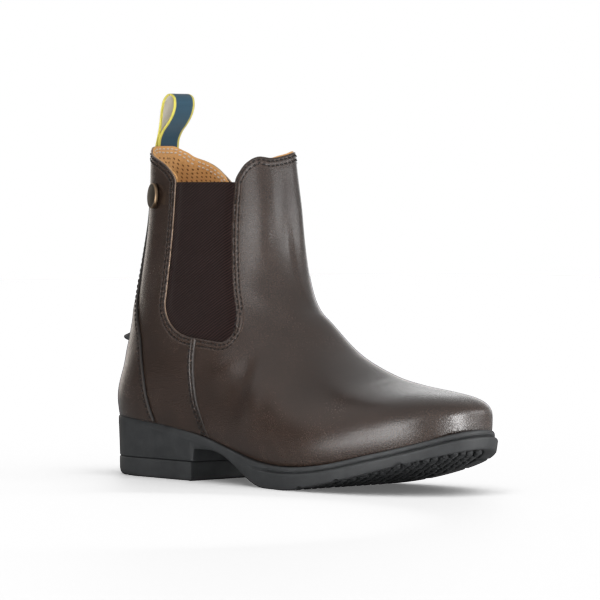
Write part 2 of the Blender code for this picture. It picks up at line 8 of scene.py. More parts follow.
import bpy
import numpy as np
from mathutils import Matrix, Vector


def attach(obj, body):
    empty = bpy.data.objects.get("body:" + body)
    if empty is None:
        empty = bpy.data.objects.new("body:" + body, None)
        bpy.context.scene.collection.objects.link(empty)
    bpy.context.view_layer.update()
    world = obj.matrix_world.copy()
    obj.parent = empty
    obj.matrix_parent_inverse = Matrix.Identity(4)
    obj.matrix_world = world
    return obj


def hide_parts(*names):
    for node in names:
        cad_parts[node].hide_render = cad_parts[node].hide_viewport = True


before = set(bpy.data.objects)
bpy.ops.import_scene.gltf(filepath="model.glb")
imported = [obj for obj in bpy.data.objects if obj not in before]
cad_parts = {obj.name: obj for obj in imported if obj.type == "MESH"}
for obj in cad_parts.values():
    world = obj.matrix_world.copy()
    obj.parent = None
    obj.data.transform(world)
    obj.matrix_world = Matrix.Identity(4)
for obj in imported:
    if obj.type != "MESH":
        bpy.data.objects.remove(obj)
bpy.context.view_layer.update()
print("solids:", ", ".join(sorted(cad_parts)))

# %% [markdown]
# ## The last
#
# A bootmaker shapes leather over a last. Here the last is a function that is below zero inside the
# boot: rounded upright sections for the foot, level sections for the shaft, and a soft blend between
# them. It is worked out in millimetres from a few short tables, the same ones that shaped the solids,
# so every panel, seam and stitch can be laid on it exactly. Modelling the panels by hand and
# shrink-wrapping them would also work, but then no size could be read off again.

# %% Tables read along a smooth curve
SOLE_LENGTH = 282.0
BALL_WIDTH = 92.0
HEEL_HEIGHT = 34.7
INSTEP_HEIGHT = 118.0
COLLAR_HEIGHT = 192.3
GORE_TOP = 171.3
METRE = 0.001


class Table:
    """Rows under named columns, read between the rows by a smooth curve. Each column has its unit."""

    def __init__(self, columns, rows):
        self.names = list(columns)
        self.rows = np.array(rows, float) * np.array(list(columns.values()), float)

    def read(self, name, at):
        """Cubic Hermite curve through the column, with slopes taken from the neighbouring rows."""
        places = self.rows[:, 0]
        values = self.rows[:, self.names.index(name)]
        spans = np.diff(places)
        slopes = np.diff(values) / spans
        inner = (slopes[:-1] * spans[1:] + slopes[1:] * spans[:-1]) / (spans[1:] + spans[:-1])
        tangents = np.concatenate([slopes[:1], inner, slopes[-1:]])
        i = np.clip(np.searchsorted(places, at) - 1, 0, len(spans) - 1)
        t = np.clip((at - places[i]) / spans[i], 0, 1)
        start = (1 + 2 * t) * (1 - t) ** 2 * values[i] + t * (1 - t) ** 2 * spans[i] * tangents[i]
        end = t**2 * (3 - 2 * t) * values[i + 1] - t**2 * (1 - t) * spans[i] * tangents[i + 1]
        return start + end


FEATHER = Table(
    {"along": SOLE_LENGTH, "height": HEEL_HEIGHT},
    [
        (0.00, 1.000),
        (0.10, 0.985),
        (0.22, 0.893),
        (0.32, 0.775),
        (0.42, 0.585),
        (0.52, 0.420),
        (0.62, 0.378),
        (0.72, 0.452),
        (0.82, 0.623),
        (0.92, 0.830),
        (1.00, 1.050),
    ],
)
FOOT = Table(
    {
        "along": SOLE_LENGTH,
        "outer": BALL_WIDTH,
        "inner": BALL_WIDTH,
        "ridge": BALL_WIDTH,
        "top": INSTEP_HEIGHT,
        "widest": 1,
        "square": 1,
    },
    [
        (0.05, 0.310, 0.304, 0.000, 0.534, 8, 2.20),
        (0.25, 0.360, 0.337, 0.000, 0.788, 10, 2.20),
        (0.42, 0.402, 0.343, 0.022, 1.000, 12, 2.10),
        (0.52, 0.446, 0.370, 0.043, 0.812, 12, 2.10),
        (0.62, 0.484, 0.424, 0.065, 0.620, 12, 2.15),
        (0.70, 0.489, 0.457, 0.087, 0.528, 12, 2.20),
        (0.78, 0.457, 0.451, 0.087, 0.493, 12, 2.30),
        (0.87, 0.397, 0.408, 0.087, 0.484, 11, 2.40),
        (1.00, 0.326, 0.359, 0.076, 0.483, 10, 2.40),
    ],
)
TUCK = 0.05
TOE_CAP, TOE_TIP, TOE_POWER = 0.84 * SOLE_LENGTH, 0.972 * SOLE_LENGTH, 2.4
HEEL_CAP, HEEL_END = 40.0, 34.0
SHAFT = Table(
    {"height": 1, "back": 1, "front": 1, "outer": BALL_WIDTH, "inner": BALL_WIDTH, "square": 1},
    [
        (25, 8.5, 100.0, 0.337, 0.337, 2.35),
        (45, 4.2, 107.3, 0.364, 0.359, 2.35),
        (65, 4.6, 115.8, 0.380, 0.370, 2.35),
        (85, 9.6, 121.4, 0.364, 0.359, 2.45),
        (110, 14.8, 127.3, 0.321, 0.321, 2.80),
        (150, 22.8, 127.7, 0.272, 0.272, 3.30),
        (190, 24.8, 122.0, 0.234, 0.234, 4.00),
        (215, 25.0, 121.0, 0.234, 0.234, 4.00),
    ],
)
SHAFT_REACH = 38.0
INSTEP_BLEND = 16.0
print("top of the instep:", round(float(FOOT.rows[:, 4].max()), 1), "mm")


# %% The last as a level function
def smoothstep(low, high, value):
    """0 below low, 1 above high, and 3t^2 - 2t^3 between them."""
    t = np.clip((value - low) / (high - low), 0, 1)
    return t * t * (3 - 2 * t)


def feather(along):
    """Height of the line where the upper meets the sole."""
    return FEATHER.read("height", np.clip(along, 0, SOLE_LENGTH))


def foot_level(along, across, height):
    """Below zero inside the foot: (side^n + crown^n)^(1/n) - 1, closed by a rounded toe and heel."""
    outer, inner, ridge, top, widest, square = (
        FOOT.read(name, along) for name in ("outer", "inner", "ridge", "top", "widest", "square")
    )
    shoulder = feather(along) + widest
    half = np.where(across < ridge, outer + ridge, inner - ridge)
    half = half * (1 - TUCK * np.clip((shoulder - height) / widest, 0, 2) ** 2)
    side = np.abs(across - ridge) / half
    crown = np.clip(height - shoulder, 0, None) / (top - shoulder)
    girth = (side**square + crown**square) ** (1 / square)
    toe = np.clip(along - TOE_CAP, 0, None) / (TOE_TIP - TOE_CAP)
    heel = np.clip(HEEL_CAP - along, 0, None) / HEEL_END
    rounded = (girth**TOE_POWER + toe**TOE_POWER + heel**TOE_POWER) ** (1 / TOE_POWER)
    return (rounded - 1) * np.minimum(half, HEEL_CAP)


def shaft_level(along, across, height):
    """Below zero inside the shaft: level sections between an ellipse and a rounded rectangle."""
    back, front, outer, inner, square = (
        SHAFT.read(name, height) for name in ("back", "front", "outer", "inner", "square")
    )
    run = np.abs(along - (back + front) / 2) / ((front - back) / 2)
    side = np.abs(across) / np.where(across < 0, outer, inner)
    return ((run**square + side**square) ** (1 / square) - 1) * SHAFT_REACH


def upper_level(points):
    """Foot and shaft joined by a smooth minimum. The leather's outside is where it is zero."""
    along, across, height = points[..., 0], points[..., 1], points[..., 2]
    foot = foot_level(along, across, height)
    shaft = shaft_level(along, across, height)
    share = np.clip(0.5 + 0.5 * (shaft - foot) / INSTEP_BLEND, 0, 1)
    return shaft + (foot - shaft) * share - INSTEP_BLEND * share * (1 - share)


def slopes(points, step=0.25):
    """Gradient of the level, from central differences."""
    offsets = np.eye(3) * step
    change = [upper_level(points + offset) - upper_level(points - offset) for offset in offsets]
    return np.stack(change, -1) / (2 * step)


def normals(points):
    """Directions straight out of the last: the gradient over its own length."""
    slope = slopes(points)
    return slope / np.linalg.norm(slope, axis=-1, keepdims=True)


def meet(path, reach=150.0, halvings=22):
    """Points where a path, given as a function of the distance gone, leaves the last (bisection)."""
    near = np.zeros(path(0.0).shape[:-1])
    far = np.full_like(near, reach)
    for _ in range(halvings):
        middle = (near + far) / 2
        outside = upper_level(path(middle[..., None])) > 0
        far = np.where(outside, middle, far)
        near = np.where(outside, near, middle)
    return path(near[..., None])


def settle(points):
    """Points drawn back onto the last by two Newton steps along its gradient."""
    for _ in range(2):
        slope = slopes(points)
        rate = np.sum(slope**2, axis=-1, keepdims=True)
        points = points - upper_level(points)[..., None] * slope / rate
    return points


def side_skin(along, height, side):
    """Points of the last's side, met by rays straight out from the centre line."""

    def path(distance):
        across = side * np.asarray(distance)
        across = across[..., 0] if across.ndim else np.full(along.shape, across)
        return np.stack([along, across, height], -1)

    return meet(path, reach=70.0)


BACK_AXIS, FRONT_AXIS = 60.0, 86.0


def turned_skin(angle, height, axis=BACK_AXIS, way=-1):
    """Points of the last's back (way -1) or front (way 1), met by level rays turned about an axis."""

    def path(distance):
        distance = np.asarray(distance)
        distance = distance[..., 0] if distance.ndim else distance
        along = axis + way * distance * np.cos(angle)
        return np.stack([along, distance * np.sin(angle), height + 0 * along], -1)

    return meet(path, reach=90.0)


INSIDE_FOOT = np.array([200.0, 6.0, 40.0])


def toe_ray(distance):
    """A path straight ahead to the toe, from a point inside the foot."""
    return INSIDE_FOOT + np.multiply(distance, [1.0, 0.0, 0.0])


print("toe tip of the last:", round(float(meet(toe_ray)[0]), 1), "mm")

# %% [markdown]
# ## Creases
#
# Leather that stands empty keeps soft dents. Each one here is listed one by one: a bell-shaped ridge or
# trough round a short line on the last. They are added to the skin along its normals, so all that lies
# on the leather follows them.

# %% Creases, listed one by one
# place along, across and up; direction along, across and up; half length, half width, rise in mm
CREASES = np.array(
    [
        (197.0, 16.0, 63.0, 1.00, -0.10, -0.25, 28.0, 24.0, 1.60),
        (150.0, 4.0, 93.0, 0.75, 0.00, -0.65, 15.0, 20.0, 1.30),
        (247.0, 8.0, 54.0, 0.10, 1.00, 0.00, 30.0, 15.0, -1.30),
        (25.0, 2.0, 180.0, 0.00, 0.00, 1.00, 28.0, 20.0, 1.40),
        (14.0, 2.0, 108.0, 0.10, 0.00, 1.00, 18.0, 20.0, -1.10),
        (126.5, -4.0, 150.0, 0.00, 0.10, 1.00, 22.0, 5.0, -0.60),
        (127.5, 4.0, 134.0, 0.10, 0.25, 1.00, 14.0, 5.5, -0.60),
        (127.5, -16.0, 118.0, 0.20, -0.25, 1.00, 12.0, 6.0, -0.55),
        (130.5, -23.5, 96.0, 0.60, 0.30, -0.70, 15.0, 6.5, -0.65),
        (139.0, -14.0, 98.0, 0.70, 0.35, -0.60, 16.0, 6.0, 0.45),
        (152.0, -12.0, 84.0, 0.75, 0.30, -0.60, 18.0, 6.0, -0.38),
        (205.0, -1.0, 60.0, -0.35, 1.00, 0.05, 10.0, 2.6, -0.16),
        (210.0, -3.0, 58.8, -0.30, 1.00, 0.05, 8.0, 2.2, 0.14),
        (215.5, -2.0, 58.0, -0.40, 1.00, 0.05, 9.0, 2.6, -0.14),
        (46.0, -24.5, 140.0, 0.05, 0.00, 1.00, 22.0, 6.0, -0.50),
        (50.0, -28.5, 112.0, 0.15, 0.00, 1.00, 14.0, 6.0, 0.40),
        (116.0, -34.0, 66.0, 0.70, 0.10, 0.70, 13.0, 7.5, 2.3),
        (133.0, -35.0, 60.0, 0.35, 0.00, 1.00, 14.0, 7.0, -1.5),
        (143.0, -37.0, 48.0, 0.20, 0.00, 1.00, 16.0, 7.5, 2.0),
        (126.0, 14.0, 150.0, 0.00, 0.00, 1.00, 22.0, 6.0, 0.60),
        (45.0, 22.0, 150.0, 0.05, 0.00, 1.00, 20.0, 7.0, -0.60),
        (120.0, 33.0, 80.0, 0.70, 0.10, -0.70, 15.0, 7.0, -0.60),
    ]
)


def relief(points):
    """Sum over the creases of rise * exp(-(s / half length)^2 - (t / half width)^2), s and t being the
    distances along and away from each crease's line."""
    total = np.zeros(points.shape[:-1])
    for crease in CREASES:
        line = crease[3:6] / np.linalg.norm(crease[3:6])
        gap = points - crease[:3]
        run = gap @ line
        away = np.sum(gap**2, axis=-1) - run**2
        total += crease[8] * np.exp(-((run / crease[6]) ** 2) - away / crease[7] ** 2)
    return total


COLLAR_TIP = 2.6


def collar_tip(points):
    """Rise of the collar towards the inner side of its front, where it stands higher than outside."""
    along, across, height = points[..., 0], points[..., 1], points[..., 2]
    share = smoothstep(-8, 12, across) * smoothstep(108, 117, along) * smoothstep(160, 187, height)
    return COLLAR_TIP * share


INNER_DIP = Table(
    {"along": 1, "dip": 1},
    [(22, 2.4), (29, 2.3), (36, 1.9), (45, 2.5), (52, 3.4), (60, 3.4), (75, 0.0), (90, 0.0), (140, 0.0)],
)


def collar_dip(points):
    """Fall of the collar on the inner side of the back, where it is cut lower than outside."""
    along, across, height = points[..., 0], points[..., 1], points[..., 2]
    dip = INNER_DIP.read("dip", np.clip(along, 22, 140))
    return dip * smoothstep(3, 13, across) * smoothstep(158, 182, height)


def lay(points, lift):
    """Points of the last moved out along its normals by the creases and a lift, with the collar's rise
    and fall."""
    moved = points + normals(points) * (relief(points) + lift)[..., None]
    moved[..., 2] += collar_tip(points) - collar_dip(points)
    return moved


print("creases:", len(CREASES))

# %% [markdown]
# ## Outlines in side view
#
# The leather is cut away along the collar and round both elastic gores. In side view that is one
# outline. Its signed distance says how far a point of the leather is from the cut, which places the
# rolled edge, the stitch rows and the lining's window with one number.

# %% The collar and the gore in side view
GORE = Table(
    {"height": 1, "rear": 1, "front": 1},
    [
        (78, 57.3, 119.0),
        (95, 57.3, 116.9),
        (108, 57.4, 112.6),
        (127, 57.8, 108.8),
        (150, 58.2, 107.2),
        (172, 57.8, 107.2),
    ],
)
GORE_FOOT, GORE_SLANT = 85.6, 6.4
REAR_CORNER, REAR_CORNER_RISE = 0.42, 18.0
FRONT_CORNER, FRONT_CORNER_RISE = 0.2, 15.0
COLLAR_BACK = Table(
    {"along": 1, "drop": 1},
    [
        (20, 0.0),
        (25, 0.0),
        (26.5, 0.9),
        (29, 3.4),
        (32.3, 5.2),
        (36, 6.6),
        (44.7, 9.8),
        (50.4, 13.0),
        (54.5, 16.4),
        (56.8, 19.2),
        (57.6, 21.0),
    ],
)
COLLAR_FRONT = Table(
    {"along": 1, "drop": 1},
    [
        (107.2, 21.0),
        (108.3, 18.2),
        (109.7, 15.9),
        (111.2, 13.6),
        (112.7, 11.6),
        (115.5, 9.1),
        (118.5, 7.1),
        (120.6, 6.5),
        (121.8, 6.9),
        (122.6, 7.5),
        (130, 7.6),
    ],
)


def gore_foot(share, margin=0.0):
    """Height of the gore's foot at a share of its width: a slanted line that rises at both corners along
    quarter ellipses."""
    rear_turn = np.clip(1 - share / REAR_CORNER, 0, 1)
    front_turn = np.clip(1 - (1 - share) / FRONT_CORNER, 0, 1)
    foot = GORE_FOOT - GORE_SLANT * share - margin
    foot = foot + REAR_CORNER_RISE * (1 - np.sqrt(1 - rear_turn**2))
    return foot + FRONT_CORNER_RISE * (1 - np.sqrt(1 - front_turn**2))


def gore_along(share, height, margin=0.0):
    """Place along the boot at a share of the gore's width, from its rear edge to its front edge."""
    rear = GORE.read("rear", height) - margin
    front = GORE.read("front", height) + margin
    return rear + (front - rear) * share


def gore_edge(margin, top):
    """The gore's edge in side view, from its rear top down round the foot and up to its front top."""
    share = 0.5 - 0.5 * np.cos(np.linspace(0, np.pi, 61))
    foot = gore_foot(share, margin)
    low = np.column_stack([gore_along(share, foot, margin), foot])
    climb = np.linspace(0, 1, 40)[1:]
    rear = foot[0] + (top - foot[0]) * climb
    front = foot[-1] + (top - foot[-1]) * climb
    rear_line = np.column_stack([gore_along(0.0, rear, margin), rear])
    front_line = np.column_stack([gore_along(1.0, front, margin), front])
    return np.concatenate([rear_line[::-1], low, front_line])


def collar_back(along):
    """Height of the collar behind the gore: its top less the drop."""
    return COLLAR_HEIGHT - COLLAR_BACK.read("drop", along)


def collar_front(along):
    """Height of the collar before the gore: its top less the drop."""
    return COLLAR_HEIGHT - COLLAR_FRONT.read("drop", along)


def cut_outline(margin, lower=0.0):
    """All that is cut away in side view: above the collar, and the gore widened by a margin."""
    back = np.linspace(22, COLLAR_BACK.rows[-1, 0] - 0.2 - margin, 60)
    front = np.linspace(COLLAR_FRONT.rows[0, 0] + 0.5 + margin, 124, 50)
    back_line = np.column_stack([back, collar_back(back) - lower])
    front_line = np.column_stack([front, collar_front(front) - lower])
    edge = gore_edge(margin, GORE_TOP)
    edge = edge[(edge[:, 1] < back_line[-1, 1] - 0.5) | (edge[:, 0] > 80)]
    edge = edge[(edge[:, 1] < front_line[0, 1] - 0.5) | (edge[:, 0] < 80)]
    above = COLLAR_HEIGHT + 40
    ends = [(160, front_line[-1, 1]), (160, above), (-20, above), (-20, COLLAR_HEIGHT - lower)]
    return np.concatenate([back_line, edge, front_line, ends])


def distance_to(outline, points):
    """Signed distance in side view from points to a closed outline: below zero inside it."""
    flat = points[..., [0, 2]].reshape(-1, 2)
    start, end = outline, np.roll(outline, -1, 0)
    run = end - start
    nearest = np.full(len(flat), np.inf)
    inside = np.zeros(len(flat), bool)
    for a, b, d in zip(start, end, run):
        gap = flat - a
        t = np.clip(gap @ d / (d @ d + 1e-9), 0, 1)
        nearest = np.minimum(nearest, np.sum((gap - t[:, None] * d) ** 2, axis=1))
        crosses = (a[1] > flat[:, 1]) != (b[1] > flat[:, 1])
        where = a[0] + (flat[:, 1] - a[1]) * d[0] / (d[1] if abs(d[1]) > 1e-9 else 1e-9)
        inside ^= crosses & (flat[:, 0] < where)
    return (np.sqrt(nearest) * np.where(inside, -1, 1)).reshape(points.shape[:-1])


def outline_slope(outline, points, step=0.05):
    """Gradient of the distance to an outline in side view, from central differences."""
    slope = np.zeros(points.shape)
    for axis in (0, 2):
        nudge = np.eye(3)[axis] * step
        change = distance_to(outline, points + nudge) - distance_to(outline, points - nudge)
        slope[..., axis] = change / (2 * step)
    return slope


LEAST_KEPT = 0.2


def on_skin(outline, points):
    """Distance to an outline along the skin: the distance in side view over the length that its slope
    keeps on the skin, sqrt(1 - (slope . normal)^2)."""
    facing = np.sum(outline_slope(outline, points) * normals(points), axis=-1)
    return distance_to(outline, points) / np.sqrt(np.clip(1 - facing**2, LEAST_KEPT, 1))


print("outline points:", len(cut_outline(0.0)))

# %% [markdown]
# ## Meshes from whole arrays
#
# Each surface below is a grid of points, so its faces follow from the grid's size alone. One function
# puts points and faces into a mesh, moves them from the last's frame to the boot's, and adds the UV map
# and any values that a material reads. Objects stay at the origin: the place is in the mesh.


# %% Grids to meshes
def grid_faces(rows, columns, first=0, wrap_columns=False):
    """Four-sided faces between neighbouring rows and columns of a grid of points."""
    down = np.arange(rows - 1)[:, None]
    over = np.arange(columns if wrap_columns else columns - 1)[None]
    corners = [(down, over), (down, over + 1), (down + 1, over + 1), (down + 1, over)]
    index = [first + r * columns + c % columns for r, c in corners]
    return np.stack(index, -1).reshape(-1, 4)


def border_faces(rows, columns):
    """Faces that join the edge of a grid to the edge of a second grid stored after it."""
    index = np.arange(rows * columns).reshape(rows, columns)
    border = np.concatenate([index[0, :-1], index[:-1, -1], index[-1, :0:-1], index[:0:-1, 0]])
    following = np.roll(border, -1)
    return np.stack([border + index.size, following + index.size, following, border], -1)


def panel_faces(rows, columns):
    """Faces of a closed panel: a grid, a second grid stored after it, and the border between them."""
    back = grid_faces(rows, columns, rows * columns)[:, ::-1]
    return np.concatenate([grid_faces(rows, columns), back, border_faces(rows, columns)])


def tube_faces(rows, columns, copies=1):
    """Faces of a closed tube: a grid that wraps round, with one face over each end. Copies of the tube
    are stored one after another, so the numbers of their corners are shifted by its points."""
    shift = (np.arange(copies) * rows * columns)[:, None, None]
    walls = grid_faces(rows, columns, wrap_columns=True)
    ends = np.stack([np.arange(columns)[::-1], np.arange(columns) + (rows - 1) * columns])
    return (walls + shift).reshape(-1, 4).tolist() + (ends + shift).reshape(-1, columns).tolist()


SOLE_MIDDLE = -0.8324


def add_piece(name, points, faces, material, uv=None, values=None, body_slot="leather", stands_for=()):
    """A smooth piece from points in the last's millimetres. uv has one pair, and each of values one
    number, for every point."""
    points = np.asarray(points, float).reshape(-1, 3)
    centre = np.array([SOLE_LENGTH / 2, SOLE_MIDDLE, 0.0])
    mesh = bpy.data.meshes.new(name)
    mesh.from_pydata(((points - centre) * METRE).tolist(), [], [tuple(map(int, f)) for f in faces])
    mesh.materials.append(material)
    if uv is not None:
        corner = np.zeros(len(mesh.loops), np.int32)
        mesh.loops.foreach_get("vertex_index", corner)
        pairs = np.asarray(uv, np.float32).reshape(-1, 2)[corner]
        mesh.uv_layers.new(name="lay").data.foreach_set("uv", pairs.ravel())
    for label, numbers in (values or {}).items():
        layer = mesh.attributes.new(label, "FLOAT", "POINT")
        layer.data.foreach_set("value", np.asarray(numbers, np.float32).ravel())
    mesh.shade_smooth()
    mesh.update()
    piece = bpy.data.objects.new(name, mesh)
    bpy.context.scene.collection.objects.link(piece)
    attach(piece, "root")
    if stands_for:
        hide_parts(*stands_for)
    print(f"{name}: {len(points)} points, {len(faces)} faces")
    return piece


def turn_outwards(piece):
    """Faces of a closed piece turned so that its volume comes out above zero."""
    mesh = piece.data
    mesh.calc_loop_triangles()
    corners = np.zeros(len(mesh.loop_triangles) * 3, np.int32)
    mesh.loop_triangles.foreach_get("vertices", corners)
    spots = np.zeros(len(mesh.vertices) * 3)
    mesh.vertices.foreach_get("co", spots)
    a, b, c = spots.reshape(-1, 3)[corners.reshape(-1, 3)].transpose(1, 0, 2)
    if np.sum(np.cross(a, b) * c) < 0:
        mesh.flip_normals()
    return piece


# %% [markdown]
# ## Shader sums
#
# A material's pattern is a sum over the surface. One small class wraps a socket, so that such a sum can
# be written as Python, and every other node comes from its one method.


# %% Sockets with arithmetic
class Shade:
    """An output socket of a material. Arithmetic on it adds Math nodes to the same tree."""

    def __init__(self, tree, socket=None):
        self.tree = tree
        self.socket = socket

    def node(self, kind, settings=None, sockets=None, output=0):
        """Adds a node: its settings are set first, then its sockets get values or links."""
        made = self.tree.nodes.new(kind)
        for name, value in (settings or {}).items():
            setattr(made, name, value)
        for name, value in (sockets or {}).items():
            target = made.inputs[name]
            if isinstance(value, Shade):
                self.tree.links.new(value.socket, target)
            else:
                target.default_value = value
        return Shade(self.tree, made.outputs[output])

    def maths(self, operation, *values):
        """Adds a Math node with these values in its sockets."""
        return self.node("ShaderNodeMath", {"operation": operation}, dict(enumerate(values)))

    def take(self, operation):
        """A Math node of this value alone, such as its SINE or its FLOOR."""
        return self.maths(operation, self)

    def __abs__(self):
        return self.take("ABSOLUTE")

    def __add__(self, other):
        return self.maths("ADD", self, other)

    def __sub__(self, other):
        return self.maths("SUBTRACT", self, other)

    def __rsub__(self, other):
        return self.maths("SUBTRACT", other, self)

    def __mul__(self, other):
        return self.maths("MULTIPLY", self, other)

    def __truediv__(self, other):
        return self.maths("DIVIDE", self, other)

    def __pow__(self, other):
        return self.maths("POWER", self, other)

    __radd__ = __add__
    __rmul__ = __mul__

    def smooth(self, low, high):
        """0 below low and 1 above high, with a smooth step between them."""
        sockets = {0: self, 1: low, 2: high}
        return self.node("ShaderNodeMapRange", {"interpolation_type": "SMOOTHSTEP"}, sockets)

    def pick(self, low_colour, high_colour):
        """The first colour where this value is 0, and the second where it is 1."""
        return self.node("ShaderNodeMix", {"data_type": "RGBA"}, {0: self, 6: low_colour, 7: high_colour}, 2)


def new_material(name, **constants):
    """A material, its surface shader and a Shade to start sums from. Constants go on the shader."""
    material = bpy.data.materials.new(name)
    material.use_nodes = True
    shader = material.node_tree.nodes["Principled BSDF"]
    for label, value in constants.items():
        shader.inputs[label.replace("_", " ").title().replace("Ior", "IOR")].default_value = value
    print("finish:", name)
    return material, shader, Shade(material.node_tree)


def feed(shader, **sums):
    """Links sums to the sockets of a shader."""
    for label, value in sums.items():
        value.tree.links.new(value.socket, shader.inputs[label.replace("_", " ").title()])


def place(start):
    """Object coordinates, in metres."""
    return start.node("ShaderNodeTexCoord", output="Object")


def laid_out(start):
    """The two coordinates of the piece's own UV map, in millimetres."""
    flat = start.node("ShaderNodeUVMap", {"uv_map": "lay"})
    return [start.node("ShaderNodeSeparateXYZ", {}, {"Vector": flat}, axis) for axis in (0, 1)]


def noise(start, scale, detail, roughness=0.5):
    """Noise between 0 and 1 with about scale bumps to the metre."""
    sockets = {"Vector": place(start), "Scale": scale, "Detail": detail, "Roughness": roughness}
    return start.node("ShaderNodeTexNoise", {}, sockets)


def cells(start, scale):
    """Distance to the nearest of points scattered with about scale to the metre."""
    return start.node("ShaderNodeTexVoronoi", {}, {"Vector": place(start), "Scale": scale})


def value_of(start, name):
    """A number stored on the mesh's points."""
    return start.node("ShaderNodeAttribute", {"attribute_name": name}, output=2)


def bump(start, height, distance, strength=1.0, base=None):
    """A normal tilted by the slope of a height, over a base normal where there is one."""
    sockets = {"Height": height, "Distance": distance, "Strength": strength}
    if base:
        sockets["Normal"] = base
    return start.node("ShaderNodeBump", {}, sockets)


# %% [markdown]
# ## Leather
#
# The upper is smooth dark brown cowhide. Close to, it has a fine grain of cells about half a millimetre
# across, and its colour drifts a little. Beside a cut edge a lighter band is painted in, a painted
# highlight for the ridges there, with painted shade along the two stitch rows in it; where an overlay is
# cut, painted shade darkens its own edge, which is also dull. The sheen is satin: a low roughness that
# drifts, with a thin coat from polish. The grain could be sculpted, but at this size a bump does as well
# and leaves the mesh light.

# %% Leather finish
# distance of the two stitch rows from the cut edge, in mm
STITCH_ROWS = (1.7, 4.1)
ROW_MIDDLE, ROW_HALF = sum(STITCH_ROWS) / 2, (STITCH_ROWS[1] - STITCH_ROWS[0]) / 2


def make_leather(name, dark, light, rough):
    """Colour between dark and light by drift and fleck, times painted shade along the stitch rows, a painted
    highlight on the band beside the edge, and painted shade where an overlay's edge is cut. The bump sums
    cells and pores over the dips of the rows and a slow pull."""
    material, shader, start = new_material(name, specular_ior_level=0.46, coat_roughness=0.2)
    drift = noise(start, 26.0, 3.0)
    fleck = noise(start, 1250.0, 3.0)
    edge = value_of(start, "edge")
    cut = value_of(start, "cut")
    rub = edge.smooth(0.2, 1.6)
    from_row = abs(abs(edge - ROW_MIDDLE) - ROW_HALF)
    # painted shade: the colour darkens along each stitch row, for the shade in its channel
    row_shade = 0.7 + from_row.smooth(0.12, 0.5) * 0.3
    # painted highlight: a lighter band beside the cut edge, for the light on the ridges between the stitches
    band = 1 - edge.smooth(4.6, 6.2)
    # painted shade: where an overlay is cut, the value cut darkens its edge, for the shade of its step
    tone = (drift * 0.6 + fleck * 0.6 - 0.1) * row_shade * (1 + band * 0.6) * (1 - cut)
    colour = tone.smooth(0.15, 0.85).pick((*dark, 1.0), (*light, 1.0))
    grain = cells(start, 1900.0) * 0.45 + cells(start, 1250.0) * 0.6
    pores = noise(start, 3600.0, 2.0)
    pull = noise(start, 95.0, 4.0)
    sewn = from_row.smooth(0.0, 0.95)
    dips = bump(start, sewn, 0.00022, 1.0, bump(start, pull, 0.0003, 0.28))
    surface = bump(start, grain + pores * 0.3, 0.00014, 1.0, dips)
    roughness = rough + (drift - 0.5) * 0.12 + (fleck - 0.5) * 0.12 + (1 - rub) * 0.05 + cut * 0.45
    coat = (0.22 + (drift - 0.5) * 0.2) * (1 - cut)
    feed(shader, base_color=colour, roughness=roughness, coat_weight=coat, normal=surface)
    return material


LEATHER = make_leather("brown_leather", (0.0135, 0.0079, 0.0056), (0.0335, 0.0204, 0.0151), 0.245)


def make_raw_edge():
    """Pale cut leather: fine fibres over slow blotches, between two tans."""
    material, shader, start = new_material("raw_leather_edge", roughness=0.75, specular_ior_level=0.25)
    fibre = noise(start, 1900.0, 3.0)
    blotch = noise(start, 190.0, 2.0)
    tone = (fibre * 0.6 + blotch * 0.5).smooth(0.3, 0.8)
    colour = tone.pick((0.22, 0.14, 0.095, 1), (0.5, 0.36, 0.26, 1))
    feed(shader, base_color=colour, normal=bump(start, fibre, 0.00012, 0.7))
    return material


RAW_EDGE = make_raw_edge()

# %% [markdown]
# ## The upper
#
# Vamp, quarters and shaft are drawn over the last as rings, from the feather line up past the collar.
# The faces inside the cut outline are dropped, and the points along the cut are slid onto it, so that
# the edge is clean without a Boolean. Near the cut the leather thins to a rolled edge and dips under the
# stitch rows. A Solidify modifier gives it the leather's thickness, with the raw edge in a material of
# its own.

# %% Rings round the last
RINGS = Table(
    {"share": 1, "back_lift": 1, "waist_lift": 1, "front": SOLE_LENGTH, "front_height": 1},
    [
        (0.00, 0, 0, 1.00, 36.4),
        (0.07, 9, 6, 0.99, 42.5),
        (0.14, 18, 13, 0.97, 50.0),
        (0.20, 26, 19, 0.93, 55.0),
        (0.28, 36, 27, 0.86, 57.0),
        (0.36, 46, 36, 0.78, 58.5),
        (0.44, 57, 46, 0.70, 63.0),
        (0.52, 69, 58, 0.62, 75.0),
        (0.60, 82, 76, 0.54, 93.0),
        (0.68, 97, 96, 0.48, 113.0),
        (0.78, 120, 123, 0.45, 140.0),
        (1.00, 165, 184, 0.44, 198.0),
    ],
)
WAIST = 0.55 * SOLE_LENGTH
FRONT_BEND, FEATHER_FOLLOW = 6, 0.6
FAN_BACK, FAN_FRONT, FAN_INSET, FAN_CLIMB = 0.28, 0.68, 46, 12
SKIN_ROWS, SKIN_POINTS = 176, 256


def ring_height(share, along):
    """Height of a ring: it follows the feather line low down and rises to cross the front."""
    heel, waist = feather(0.0), feather(WAIST)
    back = heel + RINGS.read("back_lift", share)
    middle = waist + RINGS.read("waist_lift", share)
    follow = np.clip(1 - share / FEATHER_FOLLOW, 0, 1) ** 2

    def side(spot):
        level = back + (middle - back) * spot / WAIST
        return level + follow * (feather(spot) - heel - (waist - heel) * spot / WAIST)

    front = RINGS.read("front", share)
    rise = RINGS.read("front_height", share) - side(front)
    return side(along) + rise * np.clip(along / front, 0, None) ** FRONT_BEND


